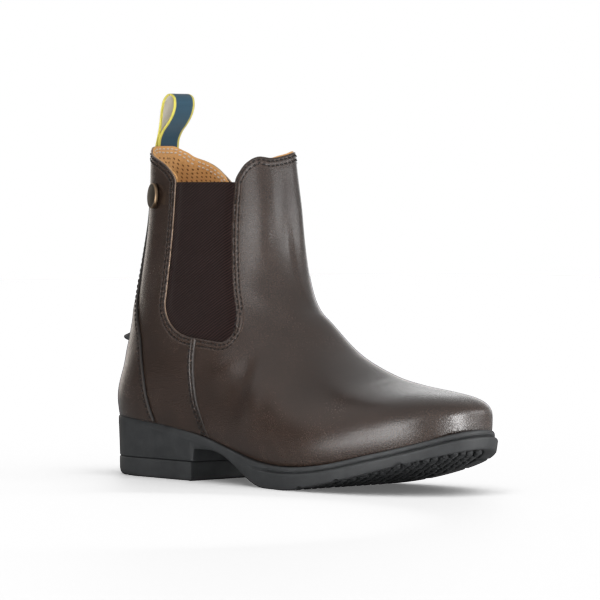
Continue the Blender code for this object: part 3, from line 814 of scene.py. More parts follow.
def rings(share, count):
    """Rings round the last: fans of rays at the back and front, and parallel rays along both sides."""
    fan_back = HEEL_CAP + FAN_CLIMB * share
    fan_front = np.maximum(RINGS.read("front", share) - FAN_INSET, fan_back + FAN_CLIMB)
    step = np.arange(count // 2 + 1) / (count // 2)
    turn = np.interp(step, [0, FAN_BACK, FAN_FRONT, 1], [np.pi, np.pi / 2, np.pi / 2, 0])
    run = np.clip((step - FAN_BACK) / (FAN_FRONT - FAN_BACK), 0, 1)
    start = fan_back + (fan_front - fan_back) * run
    ridge = FOOT.read("ridge", start)
    halves = []
    for side in (-1, 1):

        def path(distance, side=side):
            distance = np.asarray(distance)
            distance = distance[..., 0] if distance.ndim else distance
            along = start + distance * np.cos(turn)
            across = ridge + side * distance * np.sin(turn)
            return np.stack([along, across, ring_height(share, along)], -1)

        halves.append(meet(path))
    return np.concatenate([halves[0], halves[1][..., -2:0:-1, :]], axis=-2)


SLIDES, SLIDE_SHARE = 5, 0.9


def cut_skin(skin, outline):
    """Points and faces of a ring grid outside an outline, and the kept points' numbers. Points where kept
    and dropped faces meet slide onto the outline: down the gradient of the signed distance, then back
    onto the last."""
    rows, columns = skin.shape[:2]
    faces = grid_faces(rows, columns, wrap_columns=True)
    points = skin.reshape(-1, 3).copy()
    keep = distance_to(outline, points[faces].mean(1)) > 0
    kept, dropped = np.unique(faces[keep]), np.unique(faces[~keep])
    edge = np.intersect1d(kept, dropped)
    moving = points[edge]
    for _ in range(SLIDES):
        gap = distance_to(outline, moving)[:, None]
        moving = settle(moving - gap * outline_slope(outline, moving) * SLIDE_SHARE)
    points[edge] = moving
    fresh = np.full(len(points), -1)
    fresh[kept] = np.arange(len(kept))
    return points[kept], fresh[faces[keep]], kept


CUT_MARGIN = 0.3
SKIN = rings(np.linspace(0, 1, SKIN_ROWS)[:, None], SKIN_POINTS)
OUTLINE = cut_outline(CUT_MARGIN)
skin_points, skin_faces, _ = cut_skin(SKIN, OUTLINE)
print("skin:", SKIN.shape)

# %% The leather of the upper
LEATHER_THICKNESS, FAR = 0.9, 50.0
ROLL, ROLL_WIDTH = 0.13, 0.9
CHANNEL, CHANNEL_WIDTH = 0.16, 0.6


def channel(gap, row):
    """A bell-shaped dip under a stitch row, -CHANNEL * exp(-((gap - row) / width)^2)."""
    return -CHANNEL * np.exp(-(((gap - row) / CHANNEL_WIDTH) ** 2))


def edge_relief(gap):
    """Rolled edge -ROLL * (1 - gap / width)^2 and a channel under each stitch row."""
    roll = -ROLL * np.clip(1 - gap / ROLL_WIDTH, 0, 1) ** 2
    return roll + sum(channel(gap, row) for row in STITCH_ROWS)


def thicken(piece, name, thickness, way):
    """A Solidify modifier gives a sheet its thickness, along its normals (1) or against them (-1)."""
    wall = piece.modifiers.new(name, "SOLIDIFY")
    wall.thickness = thickness * METRE
    wall.offset = way
    wall.use_even_offset = False
    return wall


edge_gap = on_skin(OUTLINE, skin_points)
upper = add_piece(
    "upper_leather",
    lay(skin_points, edge_relief(edge_gap)),
    skin_faces,
    LEATHER,
    values={"edge": np.clip(edge_gap, 0, FAR)},
    stands_for=("upper",),
)
upper.data.materials.append(RAW_EDGE)
thicken(upper, "wall", LEATHER_THICKNESS, -1.0).material_offset_rim = 1

# %% [markdown]
# ## The lining
#
# Inside, the boot is lined with tan leather, punched all over with small holes in staggered rows, up to
# the two rows of cream stitches along the collar. The lining is the same skin, a leather's thickness
# further in, with a wider window round the elastic. The holes could be cut, but there are thousands of
# them, so they lie on a UV map in millimetres, where they keep their size.

# %% Lining finish
HOLE_PITCH, HOLE_ROW_PITCH = 3.5, 2.45
# a hole's rim from dark to tan, and the plain margin below the collar, in mm
HOLE_RIM, PLAIN_MARGIN = (0.48, 0.75), (4.9, 5.3)


def make_lining():
    """Round holes: the place within a cell of the pattern, every other row moved by half a pitch, gives
    the distance from the hole's middle."""
    material, shader, start = new_material("tan_lining", roughness=0.62, specular_ior_level=0.3)
    across, down = laid_out(start)
    row = down / HOLE_ROW_PITCH
    odd = (row.take("FLOOR") * 0.5).take("FRACT")
    side = ((across / HOLE_PITCH + odd).take("FRACT") - 0.5) * HOLE_PITCH
    rise = (row.take("FRACT") - 0.5) * HOLE_ROW_PITCH
    radius = (side * side + rise * rise) ** 0.5
    hole = (1 - radius.smooth(*HOLE_RIM)) * value_of(start, "collar").smooth(*PLAIN_MARGIN)
    blotch = noise(start, 60.0, 3.0)
    fine = noise(start, 1300.0, 3.0)
    tone = (blotch * 0.6 + fine * 0.4).smooth(0.25, 0.75)
    tan = tone.pick((0.66, 0.33, 0.11, 1), (0.84, 0.48, 0.2, 1))
    colour = (hole * 0.9).pick(tan, (0.2, 0.07, 0.018, 1))
    surface = bump(start, fine * 0.15 - hole, 0.0005, 0.9)
    feed(shader, base_color=colour, normal=surface)
    return material


LINING = make_lining()

# %% The lining inside the upper
LINING_FOOT, LINING_ROWS, LINING_POINTS = 0.02, 130, 176
LINING_WINDOW, LINING_RISE = 1.4, 0.1
LINING_THICKNESS, LINING_EDGE = 0.65, 0.6
LINING_DEPTH, GORE_ROOM = 1.25, 0.95
lining_skin = rings(np.linspace(LINING_FOOT, 1, LINING_ROWS)[:, None], LINING_POINTS)
round_step = np.diff(lining_skin, axis=1, append=lining_skin[:, :1])
down_step = np.diff(lining_skin, axis=0, prepend=lining_skin[:1])
round_gone = np.cumsum(np.linalg.norm(round_step, axis=2), axis=1)
down_gone = np.cumsum(np.linalg.norm(down_step, axis=2), axis=0)
lining_uv = np.stack([round_gone - round_gone[:, :1], down_gone], -1).reshape(-1, 2)
lining_outline = cut_outline(LINING_WINDOW, lower=-LINING_RISE)
lining_points, lining_faces, lining_kept = cut_skin(lining_skin, lining_outline)


def lining_depth(points):
    """Depth of the lining's outside: a leather's thickness, and more beside the gores."""
    near_gore = smoothstep(9, 4, distance_to(gore_edge(0.0, GORE_TOP), points))
    return -LINING_DEPTH - GORE_ROOM * near_gore


def lining_edge(points):
    """Rise of the lining's edge above the leather at the front of the collar."""
    along, across, height = points[..., 0], points[..., 1], points[..., 2]
    front = smoothstep(112, 118, along) * smoothstep(178, 185, height)
    return LINING_EDGE * smoothstep(-7, 0, across) * front


lining_laid = lay(lining_points, lining_depth(lining_points))
lining_laid[:, 2] += lining_edge(lining_points)
lining = add_piece(
    "lining",
    lining_laid,
    lining_faces[:, ::-1],
    LINING,
    uv=lining_uv[lining_kept],
    values={"collar": np.clip(distance_to(OUTLINE, lining_points), 0, FAR)},
    body_slot="lining",
)
thicken(lining, "backing", LINING_THICKNESS, 1.0)

# %% [markdown]
# ## The elastic gores
#
# Each gore is a woven elastic panel, sewn behind the leather, so it sits a leather's thickness deep and
# runs on a little under the edge. Its weave shows as fine slanted ribs. Each is a grid between the
# gore's outline and its straight top edge, with a UV map in millimetres for the ribs.


# %% Elastic finish
def make_elastic():
    """Slanted ribs and upright warp threads, both sine waves of the UV map, with fuzz over them."""
    material, shader, start = new_material(
        "brown_elastic", specular_ior_level=0.1, sheen_weight=0.05, sheen_roughness=0.5
    )
    across, up = laid_out(start)
    rib = ((up - across * 0.62) * 3.5).take("SINE") * 0.5 + 0.5
    thread = (across * 7.4).take("SINE") * 0.5 + 0.5
    fuzz = noise(start, 2400.0, 3.0)
    shade = noise(start, 70.0, 2.0)
    tone = rib * 0.62 + thread * 0.12 + fuzz * 0.25 + shade * 0.12
    colour = tone.smooth(0.35, 0.88).pick((0.0018, 0.0008, 0.0007, 1), (0.025, 0.0118, 0.0104, 1))
    roughness = 0.82 + fuzz * 0.12
    surface = bump(start, rib * 0.7 + thread * 0.3 + fuzz * 0.2, 0.00028, 0.9)
    feed(shader, base_color=colour, roughness=roughness, normal=surface)
    return material


ELASTIC = make_elastic()

# %% The two gores
GORE_ROWS, GORE_COLUMNS, GORE_UNDER = 70, 56, 3.2
GORE_DEPTH, GORE_FILL, ELASTIC_THICKNESS = 1.28, 0.75, 0.8


def make_gore(name, side, node):
    """Grid of share and rise inside the gore's outline, widened to run on under the leather. Its depth
    lessens smoothly from the edge to the middle."""
    share = 0.5 - 0.5 * np.cos(np.linspace(0, np.pi, GORE_COLUMNS))[None]
    rise = np.linspace(0, 1, GORE_ROWS)[:, None]
    foot = gore_foot(share, GORE_UNDER)
    height = foot + (GORE_TOP - foot) * rise
    along = gore_along(share, height, GORE_UNDER)
    skin = side_skin(along, height, side)
    inward = -distance_to(cut_outline(0.0), skin)
    lift = GORE_FILL * smoothstep(0.2, 7.0, inward) * smoothstep(0, 5, inward) - GORE_DEPTH
    sheets = np.stack([lay(skin, lift), lay(skin, lift - ELASTIC_THICKNESS)])
    lay_uv = np.stack([along, height], -1)
    piece = add_piece(
        name,
        sheets,
        panel_faces(GORE_ROWS, GORE_COLUMNS),
        ELASTIC,
        uv=np.stack([lay_uv, lay_uv]),
        body_slot="elastic",
        stands_for=(node,),
    )
    return turn_outwards(piece)


make_gore("elastic_outer", -1, "gore_outer")
make_gore("elastic_inner", 1, "gore_inner")

# %% [markdown]
# ## Heel counter and side seams
#
# The counter is a second layer of leather laid over the back, broad at the heel and narrow up to the
# collar. Each side seam is a narrow raised band from the gore to the sole. Both are patches of the skin
# lifted by their thickness, with edges that round over like cut and rubbed leather. A value on the mesh
# says how near the cut edge is, so that the leather darkens there: painted shade for the step where the
# overlay stands on the skin.

# %% Overlaid leather
COUNTER = Table(
    {"height": 1, "wrap": np.pi / 180},
    [
        (30, 84.0),
        (41, 76.3),
        (49, 72.0),
        (62, 66.9),
        (70, 62.2),
        (80, 54.9),
        (93, 42.0),
        (103, 33.0),
        (119, 27.5),
        (137, 25.0),
        (190, 16.0),
    ],
)
SEAM = Table(
    {"height": 1, "along": 1},
    [(20, 99.0), (26, 96.4), (33, 93.5), (44, 89.1), (56, 87.4), (70, 86.3), (84, 86.9)],
)
SEAM_WIDTH, SEAM_TOP, SEAM_FOOT = 5.0, 82.0, 95.0
SEAM_ROWS, SEAM_COLUMNS, SEAM_LIFT, SEAM_ROUND = 60, 25, 0.9, 1.8
SEAM_GROOVE, GROOVE_WIDTH, SEAM_SHADE, SEAM_SHADE_WIDTH = 0.3, 0.7, 0.7, 1.1
COUNTER_ROWS, COUNTER_COLUMNS, COUNTER_LIFT, COUNTER_ROUND = 110, 84, 1.3, 1.3
COUNTER_STITCH, COUNTER_SHADOW_WIDTH = 2.4, 0.9
RIDGE_GAP, RIDGE_WIDTH, RIDGE_LIFT = 8.0, 3.0, 0.4
# distance that stands for a plain surface, far from a stitched edge
PLAIN = 9.0
SUNK, EDGE_LIFT, FOOT_GAP, GORE_FOOT_LEVEL = 0.25, 0.1, 0.3, 85.0


def overlay(name, skin, lift, node, cut):
    """A closed panel from a patch of the skin: its outside at a lift, its inside just below the skin."""
    sheets = np.stack([lay(skin, lift), lay(skin, np.full(lift.shape, -SUNK))])
    # the value cut carries painted shade along the panel's edge, for the shade at its step
    values = {"edge": np.full(2 * lift.size, PLAIN), "cut": np.stack([cut, cut])}
    faces = panel_faces(*lift.shape)
    return turn_outwards(add_piece(name, sheets, faces, LEATHER, values=values, stands_for=(node,)))


def quarter_round(gap, radius):
    """Rises from 0 at the edge to 1 at a radius from it, along a quarter circle."""
    return np.sqrt(1 - (1 - np.clip(gap / radius, 0, 1)) ** 2)


def counter_skin(rise, turn):
    """Points of the counter: rise from the sole to the collar, turn from -1 to 1 round the back."""
    low, high = feather(0.0), COLLAR_HEIGHT - 1.0
    angle = COUNTER.read("wrap", low + (high - low) * rise) * turn
    foot = feather(turned_skin(angle, low + (high - low) * rise)[..., 0]) + FOOT_GAP
    return turned_skin(angle, foot + (high - foot) * rise)


counter_rise = np.linspace(0, 1, COUNTER_ROWS)[:, None]
counter_turn = np.sin(np.linspace(-np.pi / 2, np.pi / 2, COUNTER_COLUMNS))[None]
counter = counter_skin(counter_rise, counter_turn)
counter_step = np.linalg.norm(np.diff(counter, axis=1), axis=2)
from_left = np.pad(np.cumsum(counter_step, axis=1), ((0, 0), (1, 0)))
counter_edge = np.minimum(from_left, from_left[:, -1:] - from_left)
counter_lift = EDGE_LIFT + (COUNTER_LIFT - EDGE_LIFT) * quarter_round(counter_edge, COUNTER_ROUND)
counter_lift = counter_lift + channel(counter_edge, COUNTER_STITCH)
ridge = np.exp(-(((counter_edge - RIDGE_GAP) / RIDGE_WIDTH) ** 2)) * smoothstep(84, 98, counter[..., 2])
# painted shade: the counter's edge darkens, for the shade at its step
counter_cut = np.exp(-((counter_edge / COUNTER_SHADOW_WIDTH) ** 2))
overlay("counter_leather", counter, counter_lift + RIDGE_LIFT * ridge, "heel_counter", counter_cut)


def seam_skin(rise, offset, side):
    """Points of a side seam: rise from the sole to the gore, offset in mm from its middle line."""
    low = feather(SEAM_FOOT)
    along = SEAM.read("along", low + (SEAM_TOP - low) * rise) + offset
    foot = feather(along) + FOOT_GAP
    rear, front = (GORE.read(edge, GORE_FOOT_LEVEL) for edge in ("rear", "front"))
    head = gore_foot((along - rear) / (front - rear)) - 0.5
    return side_skin(along, foot + (head - foot) * rise, side)


def make_seam(name, side, node):
    """A band that rises from its edges along quarter circles, with a shallow groove down its middle. It
    flattens towards the sole, and painted shade darkens its edges, most along its lower part."""
    rise = np.linspace(0, 1, SEAM_ROWS)[:, None]
    offset = np.linspace(-1, 1, SEAM_COLUMNS)[None] * SEAM_WIDTH / 2
    gap = SEAM_WIDTH / 2 - np.abs(offset) + 0 * rise
    groove = SEAM_GROOVE * np.exp(-((offset / GROOVE_WIDTH) ** 2))
    lift = SEAM_LIFT * quarter_round(gap, SEAM_ROUND) - groove
    lift = EDGE_LIFT + lift * (0.3 + 0.7 * smoothstep(0.05, 0.6, rise))
    # painted shade: the seam's edges darken, for the shade at its step, fading towards the gore
    cut = SEAM_SHADE * np.exp(-((gap / SEAM_SHADE_WIDTH) ** 2)) * smoothstep(1.2, 0.4, rise)
    return overlay(name, seam_skin(rise, offset, side), lift, node, cut)


make_seam("seam_outer", -1, "side_seam_outer")
make_seam("seam_inner", 1, "side_seam_inner")

# %% [markdown]
# ## Stitching
#
# Two rows of dark thread run round each gore and along the collar, with two cream rows inside, one row
# follows the counter's edge, and a row lies on each side of the seams. A stitch is a short capsule of
# thread pressed into its channel. All stitches of a seam are made at once: one small capsule, carried to
# every place along the row by its tangent and normal. The same capsules in the dark thread, set so close
# that they overlap, also lay a dark line along the counter's cut edge: painted shade for its step.


# %% Thread finish
def make_thread(name, dark, light):
    """Twisted strands: fine noise between a dark and a light colour, and as a bump."""
    material, shader, start = new_material(name, roughness=0.55, specular_ior_level=0.35)
    strand = noise(start, 3000.0, 2.0)
    colour = strand.smooth(0.3, 0.7).pick((*dark, 1.0), (*light, 1.0))
    feed(shader, base_color=colour, normal=bump(start, strand, 0.00008, 0.6))
    return material


THREAD = make_thread("brown_thread", (0.0018, 0.0012, 0.001), (0.007, 0.0048, 0.004))
LINING_THREAD = make_thread("cream_thread", (0.62, 0.5, 0.38), (0.86, 0.76, 0.64))

# %% Capsules along a row
STITCH_PITCH, STITCH_LENGTH, STITCH_RADIUS = 3.2, 1.9, 0.42
CAPSULE_POINTS = 6
# share of the length and of the radius at each ring
CAPSULE_ALONG = np.array([-0.5, -0.47, -0.36, 0.36, 0.47, 0.5])
CAPSULE_SIZE = np.array([0.12, 0.62, 1.0, 1.0, 0.62, 0.12])


def capsule(length, radius):
    """Points of a capsule along x: rings whose radius falls off as a half circle at both ends."""
    turn = np.linspace(0, 2 * np.pi, CAPSULE_POINTS, endpoint=False)
    ring = np.stack([np.zeros(CAPSULE_POINTS), np.cos(turn), np.sin(turn)], -1)
    points = ring[None] * CAPSULE_SIZE[:, None, None] * radius
    points[..., 0] = CAPSULE_ALONG[:, None] * length
    return points.reshape(-1, 3)


def even_steps(line, pitch, reach=0.4):
    """Points at even steps along a polyline, and its tangents there, from points a reach to both sides."""
    gone = np.concatenate([[0], np.cumsum(np.linalg.norm(np.diff(line, axis=0), axis=1))])
    at = np.arange(pitch / 2, gone[-1] - pitch / 4, pitch)
    here, ahead, behind = (
        np.stack([np.interp(at + shift, gone, line[:, k]) for k in range(3)], -1)
        for shift in (0.0, reach, -reach)
    )
    tangent = ahead - behind
    return here, tangent / np.linalg.norm(tangent, axis=1, keepdims=True)


def stitch_rows(lines, lift, radius=STITCH_RADIUS, pitch=STITCH_PITCH):
    """Capsules along several lines on the last, at a lift that is a number or a function of the place:
    each is turned by the axes (tangent, normal x tangent, normal)."""
    shape = capsule(STITCH_LENGTH, radius)
    here, tangent = (np.concatenate(parts) for parts in zip(*(even_steps(line, pitch) for line in lines)))
    out = normals(here)
    centre = lay(here, lift(here) if callable(lift) else np.full(len(here), lift))
    axes = np.stack([tangent, np.cross(out, tangent), out], 1)
    points = centre[:, None] + np.einsum("pk,skc->spc", shape, axes)
    return points, tube_faces(len(CAPSULE_SIZE), CAPSULE_POINTS, len(here))


# %% Rows along the cut
SIDE_FROM, SIDE_TO = 31.0, 111.5
REAR_END, FRONT_END, ROW_STEP = 57.4, 108.4, 0.8


def true_row(line, offset):
    """A line on the skin slid until it lies at an offset from the cut, measured along the skin."""
    for _ in range(4):
        slope, out = outline_slope(OUTLINE, line), normals(line)
        slope -= out * np.sum(slope * out, axis=1, keepdims=True)
        slope /= np.linalg.norm(slope, axis=1, keepdims=True)
        line = settle(line + slope * (offset - on_skin(OUTLINE, line))[:, None])
    return line


def side_row(offset, side):
    """A row along the cut outline on one side of the boot. The outline is moved towards the leather in
    side view by offset * sqrt(1 - (way . normal)^2), so that the offset holds along the skin."""
    edge = OUTLINE[:-4]
    gone = np.concatenate([[0], np.cumsum(np.linalg.norm(np.diff(edge, axis=0), axis=1))])
    at = np.arange(0, gone[-1], ROW_STEP)
    edge = np.stack([np.interp(at, gone, edge[:, k]) for k in (0, 1)], -1)
    edge = edge[(edge[:, 0] > SIDE_FROM - 3) & (edge[:, 0] < SIDE_TO + 4)]
    run = np.gradient(edge, axis=0)
    out = np.stack([run[:, 1], -run[:, 0]], -1) / np.linalg.norm(run, axis=1, keepdims=True)
    facing = np.sum(normals(side_skin(edge[:, 0], edge[:, 1], side))[:, [0, 2]] * out, axis=1)
    line = edge + out * offset * np.sqrt(np.clip(1 - facing**2, LEAST_KEPT, 1))[:, None]
    ends = line[:, 1] > GORE_TOP - 12
    line = line[(line[:, 0] > SIDE_FROM) & ((line[:, 0] < SIDE_TO) | ~ends)]
    return true_row(side_skin(line[:, 0], line[:, 1], side), offset)


def end_row(offset, back, count=400):
    """A row below the collar round the back or the front: its height follows the collar line over each
    point, found by repeating."""
    angle = np.radians(np.linspace(-88, 88, count))
    height = np.full(count, 180.0)
    axis, way = (BACK_AXIS, -1) if back else (FRONT_AXIS, 1)
    for _ in range(16):
        along = turned_skin(angle, height, axis, way)[..., 0]
        if back:
            rim = collar_back(np.minimum(along, REAR_END))
        else:
            rim = collar_front(np.maximum(along, FRONT_END))
        height = 0.5 * height + 0.5 * (rim - offset)
    skin = true_row(turned_skin(angle, height, axis, way), offset)
    return skin[skin[:, 0] < SIDE_FROM + 0.6] if back else skin[skin[:, 0] > SIDE_TO - 0.6]


PRESSED, COLLAR_BAND, LEAST_POINTS = 0.1, 14.0, 8
LINING_STITCH_RADIUS, LINING_STITCH_LIFT = 0.46, 0.05


def inside_lining(spots):
    """Lift of a stitch that lies on the lining's inner face."""
    return lining_depth(spots) - LINING_THICKNESS - LINING_STITCH_LIFT


edge_lines = [side_row(row, side) for side in (-1, 1) for row in STITCH_ROWS]
edge_lines += [end_row(row, back) for back in (True, False) for row in STITCH_ROWS]
add_piece("stitches_edge", *stitch_rows(edge_lines, STITCH_RADIUS * PRESSED), THREAD)
collar_lines = [line[line[:, 2] > GORE_TOP - COLLAR_BAND] for line in edge_lines]
collar_lines = [line for line in collar_lines if len(line) > LEAST_POINTS]
points, faces = stitch_rows(collar_lines, inside_lining, LINING_STITCH_RADIUS)
add_piece("stitches_lining", points, faces, LINING_THREAD, body_slot="lining")

# %% Rows on the counter and the seams
# a dark line of overlapping capsules along the counter's edge: painted shade for its step
SHADOW_LINE_LIFT, SHADOW_LINE_RADIUS = 0.45, 0.5
SEAM_STITCH, SEAM_STITCH_LIFT = 1.35, 1.2
counter_line_rise = np.linspace(0.01, 0.985, 200)
counter_lines, shadow_lines = [], []
for way in (-1, 1):
    edge_line = counter_skin(counter_line_rise, np.full_like(counter_line_rise, way))
    from_axis = np.linalg.norm(edge_line[:, :2] - [BACK_AXIS, 0], axis=1)
    half = from_axis * COUNTER.read("wrap", edge_line[:, 2])
    shadow_lines.append(edge_line)
    counter_lines.append(counter_skin(counter_line_rise, way * (1 - COUNTER_STITCH / half)))
add_piece("stitches_counter", *stitch_rows(counter_lines, COUNTER_LIFT), THREAD)
add_piece("counter_cut", *stitch_rows(shadow_lines, SHADOW_LINE_LIFT, SHADOW_LINE_RADIUS, STITCH_LENGTH / 2), THREAD)

seam_line_rise = np.linspace(0.01, 0.97, 80)
seam_lines = [
    seam_skin(seam_line_rise, np.full_like(seam_line_rise, offset), side)
    for side in (-1, 1)
    for offset in (-SEAM_STITCH, SEAM_STITCH)
]
add_piece("stitches_seam", *stitch_rows(seam_lines, SEAM_STITCH_LIFT), THREAD)

# %% [markdown]
# ## The sole
#
# The sole is one moulding of black rubber: a bead like a welt round the forefoot, a groove below it, a
# plain wall, and underneath a smooth rim with notches round a sunk field of small nubs. Its plan is the
# same function that shaped the solid, with closer stations and a finer profile down the wall.


# %% Rubber finish
def make_rubber():
    """Nearly black: mottle, fine grain and slow scuffs, summed for colour and roughness."""
    material, shader, start = new_material("black_rubber", specular_ior_level=0.35)
    mottle = noise(start, 160.0, 3.0)
    fine = noise(start, 2600.0, 3.0)
    scuff = noise(start, 34.0, 5.0, roughness=0.65)
    tone = mottle * 0.4 + fine * 0.35 + scuff * 0.35
    colour = tone.smooth(0.3, 0.8).pick((0.0145, 0.0155, 0.0165, 1), (0.036, 0.0375, 0.039, 1))
    roughness = 0.52 + fine * 0.12 + (scuff - 0.5) * 0.2
    surface = bump(start, fine * 0.7 + mottle * 0.5, 0.00012, 0.6)
    feed(shader, base_color=colour, roughness=roughness, normal=surface)
    return material


RUBBER = make_rubber()

# %% The sole's plan and underside
SOLE = Table(
    {"along": SOLE_LENGTH, "outer": BALL_WIDTH, "inner": BALL_WIDTH},
    [
        (0.00, 0.363, 0.337),
        (0.12, 0.346, 0.342),
        (0.25, 0.366, 0.337),
        (0.40, 0.391, 0.337),
        (0.52, 0.457, 0.370),
        (0.62, 0.508, 0.440),
        (0.72, 0.508, 0.484),
        (0.82, 0.470, 0.455),
        (1.00, 0.375, 0.345),
    ],
)
HEEL_ROUND, HEEL_POWER = 0.13 * SOLE_LENGTH, 2.39
TOE_ROUND, TOE_ROUND_POWER = 0.80 * SOLE_LENGTH, 2.2
TOE_SWING, SWING_START, SWING_POWER = 4.6, 0.6 * SOLE_LENGTH, 1.5
BREAST, LIFT_HEIGHT, BREAST_STEP = 85.0, 10.8, 0.8
HEEL_BEVEL, WALL_BEVEL, WALL_DROP = 0.7, 1.0, 5.8
ARCH_HEIGHT, ARCH_START, ARCH_END = 18.4, 98.0, 155.5
SPRING_START = 0.617 * SOLE_LENGTH
TOE_SPRING, SPRING_POWER = 25.5, 1.33
BEAD_START, BEAD_FULL, BEAD_INSET, GROOVE_DEPTH = 0.46 * SOLE_LENGTH, 0.62 * SOLE_LENGTH, 1.7, 1.0
TREAD_START, TREAD_FULL, TREAD_DEPTH, RIM_WIDTH = 0.60 * SOLE_LENGTH, 0.62 * SOLE_LENGTH, 1.5, 6.0
GAP, WALL_DRAFT = 0.3, 0.7


def sole_edge(along, side):
    """The sole's edge across, on the outer (-1) or inner (1) side: a half width with round ends."""
    half = SOLE.read("outer" if side < 0 else "inner", along)
    heel = np.clip((HEEL_ROUND - along) / HEEL_ROUND, 0, 1)
    toe = np.clip((along - TOE_ROUND) / (SOLE_LENGTH - TOE_ROUND), 0, 1)
    half = half * (1 - heel**HEEL_POWER) ** (1 / HEEL_POWER)
    half = half * (1 - toe**TOE_ROUND_POWER) ** (1 / TOE_ROUND_POWER)
    swing = np.clip((along - SWING_START) / (SOLE_LENGTH - SWING_START), 0, 1) ** SWING_POWER
    return TOE_SWING * swing + side * half


def sole_under(along):
    """The underside: level over the lift, an arched waist, a flat ball and the toe spring."""
    waist = smoothstep(ARCH_END, ARCH_START, along)
    spring = np.clip((along - SPRING_START) / (SOLE_LENGTH - SPRING_START), 0, 1)
    under = ARCH_HEIGHT * waist + TOE_SPRING * spring**SPRING_POWER
    return np.where(along < BREAST + BREAST_STEP / 2, LIFT_HEIGHT + GAP, under)


def plan_loop(stations):
    """The plan from the back of the heel along the outer side and back along the inner side."""
    outer = np.stack([stations, sole_edge(stations, -1)], -1)
    inner = np.stack([stations, sole_edge(stations, 1)], -1)
    closes = np.isclose(outer[-1, 1], inner[-1, 1])
    return np.concatenate([outer, inner[-2 if closes else -1 : 0 : -1]])


def inset(loop, distance):
    """A plan loop moved inwards by a distance, along the normals of its edge."""
    run = np.roll(loop, -1, 0) - np.roll(loop, 1, 0)
    inward = np.stack([-run[:, 1], run[:, 0]], -1) / np.linalg.norm(run, axis=1, keepdims=True)
    return loop + inward * np.expand_dims(distance, -1)


def ladder_faces(count, first=0):
    """Faces across a closed loop that starts at its back, from each point to its partner opposite."""
    faces = [(first, first + 1, first + count - 1)]
    for i in range(1, count // 2):
        left, right = i + 1, count - i - 1
        if left > right:
            break
        corners = [i, left, right, count - i] if left < right else [i, left, count - i]
        faces.append(tuple(first + c for c in corners))
    return faces


def moulding_faces(rows, columns):
    """Faces of a stack of plan loops: walls between them, with the first and the last closed across."""
    top = [face[::-1] for face in ladder_faces(columns)]
    walls = grid_faces(rows, columns, wrap_columns=True).tolist()
    return walls + top + ladder_faces(columns, (rows - 1) * columns)


def sole_stations():
    """Places along the sole: close together at the round ends, as a cosine and a sine space them."""
    heel = HEEL_ROUND * (1 - np.cos(np.linspace(0, np.pi / 2, 26)))
    back = np.linspace(HEEL_ROUND, BREAST, 14)[1:]
    middle = np.linspace(BREAST + BREAST_STEP, TOE_ROUND, 150)
    toe = TOE_ROUND + (SOLE_LENGTH - TOE_ROUND) * np.sin(np.linspace(0, np.pi / 2, 60))[1:]
    return np.concatenate([heel, back, middle, toe])


stations = sole_stations()
print("stations along the sole:", len(stations))

# %% The moulded sole
OUTER_NOTCHES = np.array([188.0, 215.0, 253.0])
INNER_NOTCHES = np.array([176.3, 198.6, 230.8, 255.0])
NOTCH_DEPTH, NOTCH_WIDTH, CREASE_ANGLE = 1.6, 1.5, np.radians(50)

loop = plan_loop(stations)
along = loop[:, 0]
top, under = feather(along) - GAP, sole_under(along)
welt = smoothstep(BEAD_START, BEAD_FULL, along)
tread = TREAD_DEPTH * smoothstep(TREAD_START, TREAD_FULL, along)
foot = np.where(along <= BREAST, HEEL_BEVEL, WALL_BEVEL)
outer_notch, inner_notch = (
    np.exp(-(((along[:, None] - places) / NOTCH_WIDTH) ** 4)).sum(1)
    for places in (OUTER_NOTCHES, INNER_NOTCHES)
)
notch = NOTCH_DEPTH * np.where(np.arange(len(loop)) < len(loop) / 2, outer_notch, inner_notch)
bead = BEAD_INSET * welt
cut = under + notch
rim = WALL_DRAFT + foot + RIM_WIDTH
# the wall is thinner at the waist, so its levels lie closer there
close = np.clip((top - under - foot) / WALL_DROP, 0, 1)
# inset of each level, and its height
levels = [
    (bead + 2.4, top),
    (bead + 0.6, top - 0.02 * close),
    (bead + 0.28, top - 0.14 * close),
    (bead + 0.08, top - 0.45 * close),
    (bead, top - 1.3 * close),
    (bead + 0.04 * welt, top - 2.2 * close),
    (bead + 0.45 * welt, top - 2.8 * close),
    (bead + GROOVE_DEPTH * welt, top - 3.25 * close),
    (bead + GROOVE_DEPTH * welt, top - 3.4 * close),
    (bead * 0.7, top - 3.55 * close),
    (bead * 0.3, top - 3.65 * close),
    (bead * 0.08, top - 3.9 * close),
    (0.0, top - 4.4 * close),
    (0.12, top - 5.4 * close),
    (0.4, (top - 5.4 * close + under + foot) / 2),
    (WALL_DRAFT, under + foot + notch * 0.2),
    (WALL_DRAFT + 0.13 * foot, under + 0.55 * foot + notch * 0.5),
    (WALL_DRAFT + 0.45 * foot, under + 0.14 * foot + notch * 0.8),
    (WALL_DRAFT + foot, cut),
    (rim - 0.6, cut),
    (rim - 0.15, under + np.maximum(0.1 * tread, notch)),
    (rim + 0.1, under + np.maximum(0.45 * tread, notch)),
    (rim + 0.4, under + tread),
    (rim + 1.2, under + tread),
]
loops = np.stack([np.column_stack([inset(loop, distance), height]) for distance, height in levels])
faces = moulding_faces(*loops.shape[:2])
sole = add_piece("sole_unit", loops, faces, RUBBER, body_slot="rubber", stands_for=("outsole",))
turn_outwards(sole).data.set_sharp_from_angle(angle=CREASE_ANGLE)

# %% [markdown]
# The tread field is filled with small rounded nubs in staggered rows, each a squat dome of a few faces.
# Their places are the points of a staggered grid that lie inside the rim, each moved, turned and swelled
# a little by chance, as a crumbled tread looks. Modelling one field of bumps as a height map would need a
# far finer mesh.

# %% Tread nubs
NUB_LENGTH, NUB_WIDTH, NUB_HEIGHT = 4.8, 3.9, 1.7
NUB_PITCH, NUB_ROW_PITCH, NUB_STRAY, NUB_SWELL = 5.8, 4.8, 0.55, (0.8, 1.12)
NUB_POINTS, NUB_MARGIN, NUB_SEED, NUB_CREASE = 10, 1.6, 11, np.radians(60)
